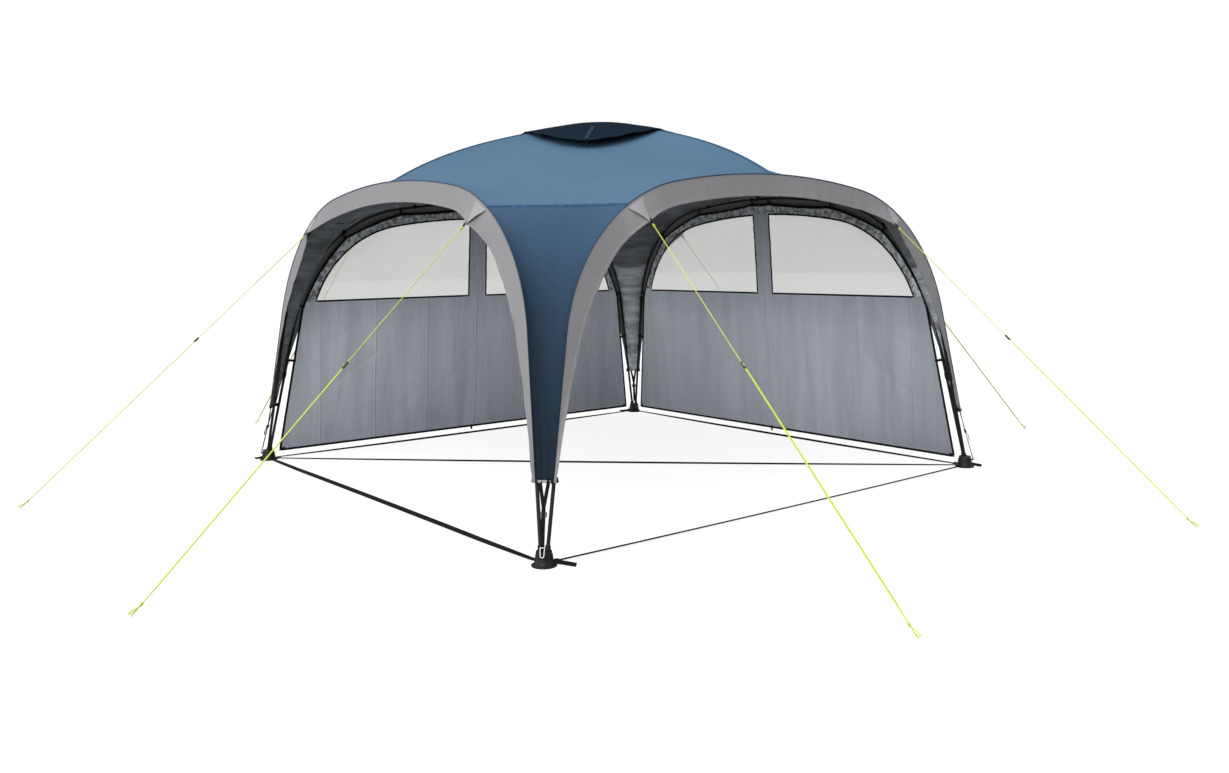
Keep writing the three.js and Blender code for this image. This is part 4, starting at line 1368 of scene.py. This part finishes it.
def make_wall(quarter):
    side = SIDES[quarter]
    outline = wall_outline()
    holes = [window_outline(-1), window_outline(1)]
    seed = 100 + quarter

    def surface(spots, out=0.0):
        return turned(on_plane(spots[:, 0], spots[:, 1], wall_bulge(spots, seed, outline) + out), quarter)

    spots, faces = filled(outline, holes, WALL_CELL)
    behind = turned(BEHIND_WALL, quarter)
    shape = thicken(surface(spots), faces, spots, away_from=behind, centred=True)
    count = len(faces)
    for k, face in enumerate(faces):
        x, y = spots[list(face)].mean(axis=0)
        between_windows = abs(x) < WINDOW_INNER and y < WINDOW_TOP
        # The band above the windows takes the crinkled cloth, with its painted highlights and shade.
        if y > WINDOW_BOTTOM and not between_windows:
            shape.slots[k] = shape.slots[count + k] = 1
        else:
            shape.slots[count + k] = 0
    wall = piece(f"wall_cloth_{side}", shape, [wall_cloth, wall_band, binding], sharp=80)
    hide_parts(f"wall_{side}")
    normal = turned(FRONT_OUT, quarter)
    for name, line, width in (
        (f"wall_binding_{side}", outline, 0.018),
        (f"window_binding_{side}_a", holes[0], 0.014),
        (f"window_binding_{side}_b", holes[1], 0.014),
    ):
        path = surface(line)
        across = unit(np.cross(loop_ahead(path), normal))
        tape = sweep(path, across, normal, tape_section(width, 0.0044), loop=True)
        piece(name, tape, binding)
    area_of(surface(spots), faces)
    for end, hole in zip((-1, 1), holes):
        make_window(quarter, end, hole, surface)
    make_toggles(quarter)


def make_window(quarter, end, outline, surface):
    """A window of clear film, sewn in behind the binding."""
    name = end_name(quarter, end)
    middle = outline.mean(axis=0)
    outline = middle + (outline - middle) * 0.9995
    spots, faces = filled(outline, [], WINDOW_CELL)
    taut = smoothstep(distance_to(spots, outline), 0.0, 0.07)[:, None]
    waves = 0.0035 * wander(spots, 0.5, 60 + quarter)[:, None]
    normal = turned(FRONT_OUT, quarter)
    flat = turned(on_plane(spots[:, 0], spots[:, 1], 0.0), quarter)
    points = surface(spots) * (1 - taut) + (flat + waves * normal) * taut
    behind = turned(BEHIND_WALL, quarter)
    shape = thicken(points, faces, spots, FILM, behind, centred=True)
    window = piece(f"window_film_{name}", shape, film, sharp=80)
    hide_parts(f"window_{name}")
    area_of(points, faces)


def make_toggles(quarter):
    """Webbing tabs that hold the wall's edge to the arch, each with a moulded clip round the pole."""
    tabs, clips = Shape(), Shape()
    for run in [sign * r for r in TOGGLE_RUNS for sign in (-1, 1)]:
        pole, upwards, along = arch_frame(run)
        inset = WALL_INSET
        radius = CLIP_ON_ROD
        if abs(run) > SHOULDER_RUN:
            low = (float(arch_at(run)[1]) - WALL_BOTTOM) / (LEG_TOP - WALL_BOTTOM)
            inset = WALL_INSET + (1 - low) * LEG_GAP
            radius = CLIP_ON_TUBE
        path = straight(pole - upwards * (inset + TAB_OVERLAP), pole - upwards * 0.009, 4)
        tabs.join(sweep(path, along, FRONT_OUT, tape_section(0.018, 0.0026)))
        grip = straight(pole - along * TAB_OVERLAP, pole + along * TAB_OVERLAP, 4)
        ends = (0.86, 1, 1, 1, 0.86)
        clips.join(sweep(grip, upwards, FRONT_OUT, round_section(radius, 18), scale=ends))
        clips.join(sweep(path[2:], along, FRONT_OUT, block_section(0.012, 0.006, 0.002)))
    piece(f"wall_tabs_{SIDES[quarter]}", tabs.turn(quarter), webbing)
    piece(f"wall_clips_{SIDES[quarter]}", clips.turn(quarter), plastic)


for quarter in WALLED:
    make_wall(quarter)


# ---- Poles ----
LEG_FOOT_HEIGHT = 0.014
ROOF_POLE_DROP = 0.015
ROOF_POLE_END = 1.560
CROSSING_DIP = 0.013
CROSSING_DIP_LENGTH = 0.200
ROD_IN_LEG = 0.060  # how far the bent rod goes into a leg tube
FERRULE_RUNS = (-1.42, -0.98, -0.36, 0.36, 0.98, 1.42)
FERRULE_HALF = 0.035
FERRULE_RADIUS = 0.0076
TOP_COLLAR = (0.035, 0.012, 0.0130)  # below and above a leg's top, and its radius
MIDDLE_COLLAR = (0.62, 0.022, 0.0125)  # up the leg, half its length, and its radius
HUB_HALF = 0.05
HUB_RADIUS = 0.0105
TIE_LOOP = 0.0085  # radius of a tie round the pole
TIE_RUNS = (-1.95, -1.2, -0.58, 0.58, 1.2, 1.95)


def arch_stretch(run, reach, steps):
    """The arch's line for `reach` on each side of a run."""
    return beside_arch(np.linspace(run - reach, run + reach, steps), 0, 0)


def leg_ends(side):
    foot_x = side * (LEG_LINE - LEG_FOOT_HEIGHT / math.tan(LEG_ANGLE))
    return on_plane(foot_x, LEG_FOOT_HEIGHT), on_plane(side * LEG_TOP_X, LEG_TOP)


def ring_collar(start, end, radius, steps=5):
    """A short sleeve round a pole, with rounded ends."""
    t = np.linspace(0, 1, steps + 4)
    path = np.asarray(start) * (1 - t[:, None]) + np.asarray(end) * t[:, None]
    swell = 0.82 + 0.18 * np.minimum(1, np.minimum(t, 1 - t) * 9)
    return tube(path, radius, 20, scale=swell)


def make_arch_poles(quarter):
    side = SIDES[quarter]
    rod = tube(arch_stretch(0, SHOULDER_RUN + ROD_IN_LEG, 150), BENT_POLE_RADIUS).turn(quarter)
    arch = piece(f"arch_rod_{side}", rod, rod_black)
    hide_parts(f"arch_pole_{side}")
    sleeves = Shape()
    for run in FERRULE_RUNS:
        sleeves.join(tube(arch_stretch(run, FERRULE_HALF, 9), FERRULE_RADIUS))
    piece(f"arch_ferrules_{side}", sleeves.turn(quarter), ferrule_metal)
    for end in (-1, 1):
        name = f"{CORNERS[(quarter + (end > 0)) % 4]}_on_{side}"
        foot, top = leg_ends(end)
        leg = tube(straight(foot, top, 3), LEG_TUBE_RADIUS, 24).turn(quarter)
        leg = piece(f"leg_tube_{name}", leg, steel)
        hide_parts(f"leg_pole_{name}")
        ahead = unit(top - foot)
        below, above, radius = TOP_COLLAR
        collar = ring_collar(top - ahead * below, top + ahead * above, radius)
        up_leg, reach, radius = MIDDLE_COLLAR
        middle = foot + ahead * up_leg
        collar.join(ring_collar(middle - ahead * reach, middle + ahead * reach, radius))
        piece(f"leg_collars_{name}", collar.turn(quarter), plastic)


def make_roof_pole(name, dip, turn):
    distance = np.linspace(-ROOF_POLE_END, ROOF_POLE_END, 120)
    under = dip * np.exp(-((distance / CROSSING_DIP_LENGTH) ** 2))
    path = np.stack([distance, 0 * distance, ridge_height(distance) - ROOF_POLE_DROP - under], axis=1)
    rod = piece(f"roof_rod_{name}", tube(path, BENT_POLE_RADIUS).turn(turn), rod_black)
    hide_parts(f"roof_pole_{name}")


for quarter in range(4):
    make_arch_poles(quarter)
make_roof_pole("front_to_back", CROSSING_DIP, 1)
make_roof_pole("left_to_right", 0.0, 0)


def make_hubs():
    """A moulded T at each crown, where a roof pole meets the arch, and the webbing ties at the crossing."""
    start = beside_arch(0.0, 0.004, 0)
    inner = ROOF_POLE_END - HUB_HALF
    end = np.array([0, -inner, ridge_height(inner) - ROOF_POLE_DROP])
    for quarter in range(4):
        rounding = (0.8, 0.95, 1, 1, 1, 1, 1, 0.95, 0.8)
        hub = tube(arch_stretch(0, HUB_HALF, len(rounding)), HUB_RADIUS, 18, scale=rounding)
        hub.join(ring_collar(start, end, 0.0100, 8))
        piece(f"crown_hub_{SIDES[quarter]}", hub.turn(quarter), plastic)
    ties = Shape()
    centre = UP * (RIDGE_TOP - ROOF_POLE_DROP - 0.006)
    for angle in (math.pi / 4, -math.pi / 4):
        across = np.array([math.cos(angle), math.sin(angle), 0])
        loop = oval(centre, 0.013 * across, 0.016 * UP, 32)
        ties.join(band(loop, unit(np.cross(across, UP)), tape_section(0.016, 0.0016)))
    piece("crossing_tie", ties, webbing)


make_hubs()


def make_pole_ties(quarter):
    """Hook and loop ties that hold the roof's seam to an arch."""
    ties = Shape()
    for run in TIE_RUNS:
        pole, upwards, along = arch_frame(run)
        loop = oval(pole, TIE_LOOP * FRONT_OUT, TIE_LOOP * upwards, 24)
        ties.join(band(loop, along, tape_section(0.022, 0.0022)))
        seam = beside_arch(run, SEAM_OFFSET - 0.002, SEAM_OFFSET - 0.006)
        over = unit(np.cross(along, seam - pole))
        ties.join(bar(pole + upwards * 0.008, seam, 3, along, over, tape_section(0.020, 0.0018)))
    piece(f"pole_ties_{SIDES[quarter]}", ties.turn(quarter), webbing)


for quarter in range(4):
    make_pole_ties(quarter)

# ---- Feet, tension straps and ground straps ----
STRAP_REACH = 2.528 * math.sqrt(0.5)  # of a tension strap's lower end, at its hook, along X and Y
STRAP_LOW = np.array([-STRAP_REACH, -STRAP_REACH, 0.056])
STRAP_FORK = 0.215
STRAP_ARM = 0.024
BUCKLE_HEIGHT = 0.024


def foot_shape():
    """A round flange with peg holes, a ribbed cone, and a rim where the legs go in."""
    profile = [
        (0, 0.0),
        (0.060, 0.0),
        (0.062, 0.002),
        (0.062, 0.006),
        (0.0605, 0.008),
        (0.050, 0.0088),
        (0.0465, 0.012),
        (0.0425, 0.040),
        (0.0395, 0.062),
        (0.0385, 0.0715),
        (0.0365, 0.0745),
        (0.033, 0.075),
        (0.0315, 0.0735),
        (0, 0.0735),
    ]
    shape = lathe(profile, 72)
    for k in range(8):
        angle = (k + 0.5) * math.pi / 4
        out = np.array([math.cos(angle), math.sin(angle), 0])
        side = np.array([-math.sin(angle), math.cos(angle), 0])
        rib = ((0.0535, 0.0078), (0.0475, 0.020), (0.0445, 0.040), (0.0415, 0.058))
        rows = [[out * (r - 0.010) + UP * z, out * r + UP * z] for r, z in rib]
        shape.join(thicken(*grid(rows), thickness=0.004, away_from=-side, centred=True))
    for k in range(4):
        angle = k * math.pi / 2 + 0.2
        centre = np.array([0.0555 * math.cos(angle), 0.0555 * math.sin(angle), 0.0083])
        rim = oval(centre, np.array([0.0032, 0, 0]), np.array([0, 0.0032, 0]), 16)
        shape.join(tube(rim, 0.0009, 8, loop=True))
    shape.slots = [0] * len(shape.faces)
    return shape


def make_foot(i):
    name = CORNERS[i]
    shape = foot_shape()
    shape.points += (-HALF, -HALF, 0)
    foot_end, top = leg_ends(-1)
    ahead = unit(top - foot_end)
    low, high = (foot_end + ahead * (height / ahead[2]) for height in (0.052, 0.084))
    for axes in ([0, 1, 2], [1, 0, 2]):
        shape.join(ring_collar(low[axes], high[axes], 0.0135))
    lug = np.array([-HALF, -HALF, 0.050]) + CORNER_OUT * 0.033
    shape.join(bar(lug, lug + CORNER_OUT * 0.022, 3, CORNER_ACROSS, UP, block_section(0.026, 0.008, 0.002)))
    foot = piece(f"foot_socket_{name}", shape.turn(i), plastic)
    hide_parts(f"foot_{name}")


def make_tension_strap(i):
    """The webbing Y that pulls a corner panel down to its foot, with its wire hook and its ladder lock."""
    name = CORNERS[i]
    across = CORNER_ACROSS
    middle = corner[-1, COLUMNS // 2]
    up = unit(middle - STRAP_LOW)
    face = unit(np.cross(across, up))
    length = np.linalg.norm(middle - STRAP_LOW)
    fork = STRAP_LOW + up * STRAP_FORK
    stem = tape_section(0.020, 0.0022)
    webs = bar(STRAP_LOW + up * 0.038, fork + up * 0.006, 8, across, face, stem)
    for side in (-1, 1):
        start = fork - across * side * 0.002
        end = STRAP_LOW + up * (length + 0.022) + across * side * STRAP_ARM + face * 0.002
        wide = unit(np.cross(end - start, face))
        lift = face * 0.0012 * side
        webs.join(bar(start + lift, end + lift, 8, wide, face, tape_section(0.018, 0.0020)))
    tail = [fork - up * down + face * out for down, out in ((0.030, 0.005), (0.050, 0.012), (0.085, 0.010))]
    webs.join(sweep(rounded_path(tail, 0.008), across, face, tape_section(0.019, 0.0020)))
    piece(f"tension_strap_{name}", webs.turn(i), webbing)
    low, high = (STRAP_LOW + up * height + face * 0.001 for height in (-0.002, 0.044))
    wire = ((high, 0), (high, -0.0105), (low, -0.0085), (low, 0.0085), (high, 0.0105), (high, 0.0005))
    hook = tube(rounded_path([end + across * out for end, out in wire], 0.006), 0.0026, 10)
    piece(f"strap_hook_{name}", hook.turn(i), chrome)
    low = fork - up * (BUCKLE_HEIGHT + 0.006)
    lock = Shape()
    for side in (-1, 1):
        rail = low + across * side * 0.0145
        section = block_section(0.0045, 0.0085, 0.0015)
        lock.join(bar(rail, rail + up * BUCKLE_HEIGHT, 4, across, face, section))
    slat = block_section(0.0042, 0.0022, 0.001)
    for height, depth in ((0.0022, 0.0), (0.0120, 0.0026), (0.0218, 0.0)):
        for out in (0.0032 + depth / 2, -0.0032):
            centre = low + up * height + face * out
            lock.join(bar(centre - across * 0.016, centre + across * 0.016, 2, up, face, slat))
    buckle = piece(f"ladder_lock_{name}", lock.turn(i), plastic, f"strap_buckle_{name}")
    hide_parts(f"strap_buckle_{name}")


for i in range(4):
    make_foot(i)
    make_tension_strap(i)

GROUND_STRAP_WIDTH = 0.025
GROUND_STRAP_HEIGHT = 0.012
GROUND_STRAP_SAG = 0.006
ADJUSTER_LENGTH = 0.030
ADJUSTER_HALF = 0.015  # half its width
STRAP_START = 0.047  # from the centre of its foot
STRAP_LEANS = (-0.06, -0.5, -0.5, 1.0)  # in radians at the middle, for each side
DIAGONAL_LEAN = 0.35


def make_ground_strap(name, start, end, lean):
    """A webbing strap between two feet, leaning on its edge by `lean`, with a ladder lock near one end."""
    start, end = np.asarray(start, float), np.asarray(end, float)
    ahead = unit(end - start)
    level = unit(np.cross(UP, ahead))
    t = np.linspace(0, 1, 61)
    tilt = lean * np.sin(math.pi * t) ** 0.5
    side = np.cos(tilt)[:, None] * level + np.sin(tilt)[:, None] * UP
    over = np.cross(ahead, side)
    path = start + t[:, None] * (end - start)
    sagged = GROUND_STRAP_HEIGHT - GROUND_STRAP_SAG * np.sin(math.pi * t)
    path[:, 2] = np.maximum(sagged, 0.0015 + 0.0125 * np.abs(np.sin(tilt)))
    shape = sweep(path, side, over, tape_section(GROUND_STRAP_WIDTH, 0.002))
    strap = piece(f"{name}_webbing", shape, webbing)
    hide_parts(name)
    side, over = side[2], over[2]
    base = path[0] + ahead * 0.010 + over * 0.002
    lock = Shape()
    for offset in (-ADJUSTER_HALF, ADJUSTER_HALF):
        rail = base + side * offset
        section = block_section(0.005, 0.006, 0.0015)
        lock.join(bar(rail, rail + ahead * ADJUSTER_LENGTH, 3, side, over, section))
    for along in (0.003, 0.014, 0.027):
        centre = base + ahead * along + over * 0.0026
        slat = block_section(0.005, 0.003, 0.001)
        lock.join(bar(centre - side * ADJUSTER_HALF, centre + side * ADJUSTER_HALF, 2, ahead, over, slat))
    piece(f"{name}_adjuster", lock, plastic)


for quarter, lean in enumerate(STRAP_LEANS):
    ends = [turned(np.array([side * (HALF - STRAP_START), -HALF, 0]), quarter) for side in (-1, 1)]
    make_ground_strap(f"ground_strap_{SIDES[quarter]}", *ends, lean)
diagonal = HALF - STRAP_START * math.sqrt(0.5)
make_ground_strap("ground_strap_diagonal", (-diagonal, diagonal, 0), (diagonal, -diagonal, 0), DIAGONAL_LEAN)

# ---- Loose webbing tails and elastic loops ----
camera_right = np.array([math.cos(CAMERA_AZIMUTH), -math.sin(CAMERA_AZIMUTH), 0])


def make_tail(name, start, heading, length):
    """The loose end of a ground strap, lying half on its edge on the ground beside its foot."""
    heading = unit(heading)
    t = shares(16)
    level = unit(np.cross(UP, heading))
    path = start + heading * length * t + level * 0.008 * np.sin(math.pi * t * 1.3)
    path[:, 2:] = 0.0105 + 0.010 * (1 - t) ** 2
    ahead = unit(np.gradient(path, axis=0))
    tilt = 0.95 - 0.15 * t
    across = np.cos(tilt) * level + np.sin(tilt) * UP
    across = unit(across - (across * ahead).sum(axis=1, keepdims=True) * ahead)
    shape = sweep(path, across, np.cross(ahead, across), tape_section(0.022, 0.0024))
    piece(name, shape, webbing)


TAIL_START = 0.046  # from the centre of its foot
for name, x, y, way, turn, length in (
    ("front_left", -1, -1, 1, -0.24, 0.110),
    ("front_right", 1, -1, 1, -0.3, 0.065),
    ("back_left", -1, 1, -1, 0.0, 0.060),
    ("back_right", 1, 1, -1, -0.2, 0.090),
):
    start = np.array([x * HALF, y * HALF, 0]) + way * camera_right * TAIL_START
    make_tail(f"strap_tail_{name}", start, way * camera_right + (0, turn, 0), length)


def make_elastic(quarter, end):
    """A thin elastic loop from a wall's bottom corner to its foot, and the webbing tab where it starts."""
    name = end_name(quarter, end)
    start = on_plane(end * (WALL_BOTTOM_HALF - 0.004), WALL_BOTTOM + 0.004)
    stop = np.array([end * (HALF - 0.036), -HALF + 0.012, 0.050])
    path = turned(straight(start, stop, 17) - 0.006 * UP * np.sin(math.pi * shares(18)), quarter)
    loop = piece(f"wall_elastic_{name}", tube(path, ELASTIC / 2, 8), shock_cord)
    tab = on_plane(end * (WALL_BOTTOM_HALF - 0.035), WALL_BOTTOM + 0.012)
    wide = unit(np.cross(start - tab, FRONT_OUT))
    shape = bar(tab, start, 3, wide, FRONT_OUT, tape_section(0.018, 0.0062))
    piece(f"wall_corner_tab_{name}", shape.turn(quarter), webbing)


def make_peg_tab(quarter):
    """A webbing tab for a peg at the middle of a wall's lower edge."""
    high, low = (on_plane(0.02, WALL_BOTTOM + height) for height in (0.012, -0.030))
    tab = bar(high, low, 3, (1, 0, 0), (0, -1, 0), tape_section(0.018, 0.006))
    piece(f"wall_peg_tab_{SIDES[quarter]}", tab.turn(quarter), webbing)


ELASTIC = 0.003  # diameter
for quarter in WALLED:
    for end in (-1, 1):
        make_elastic(quarter, end)
    make_peg_tab(quarter)
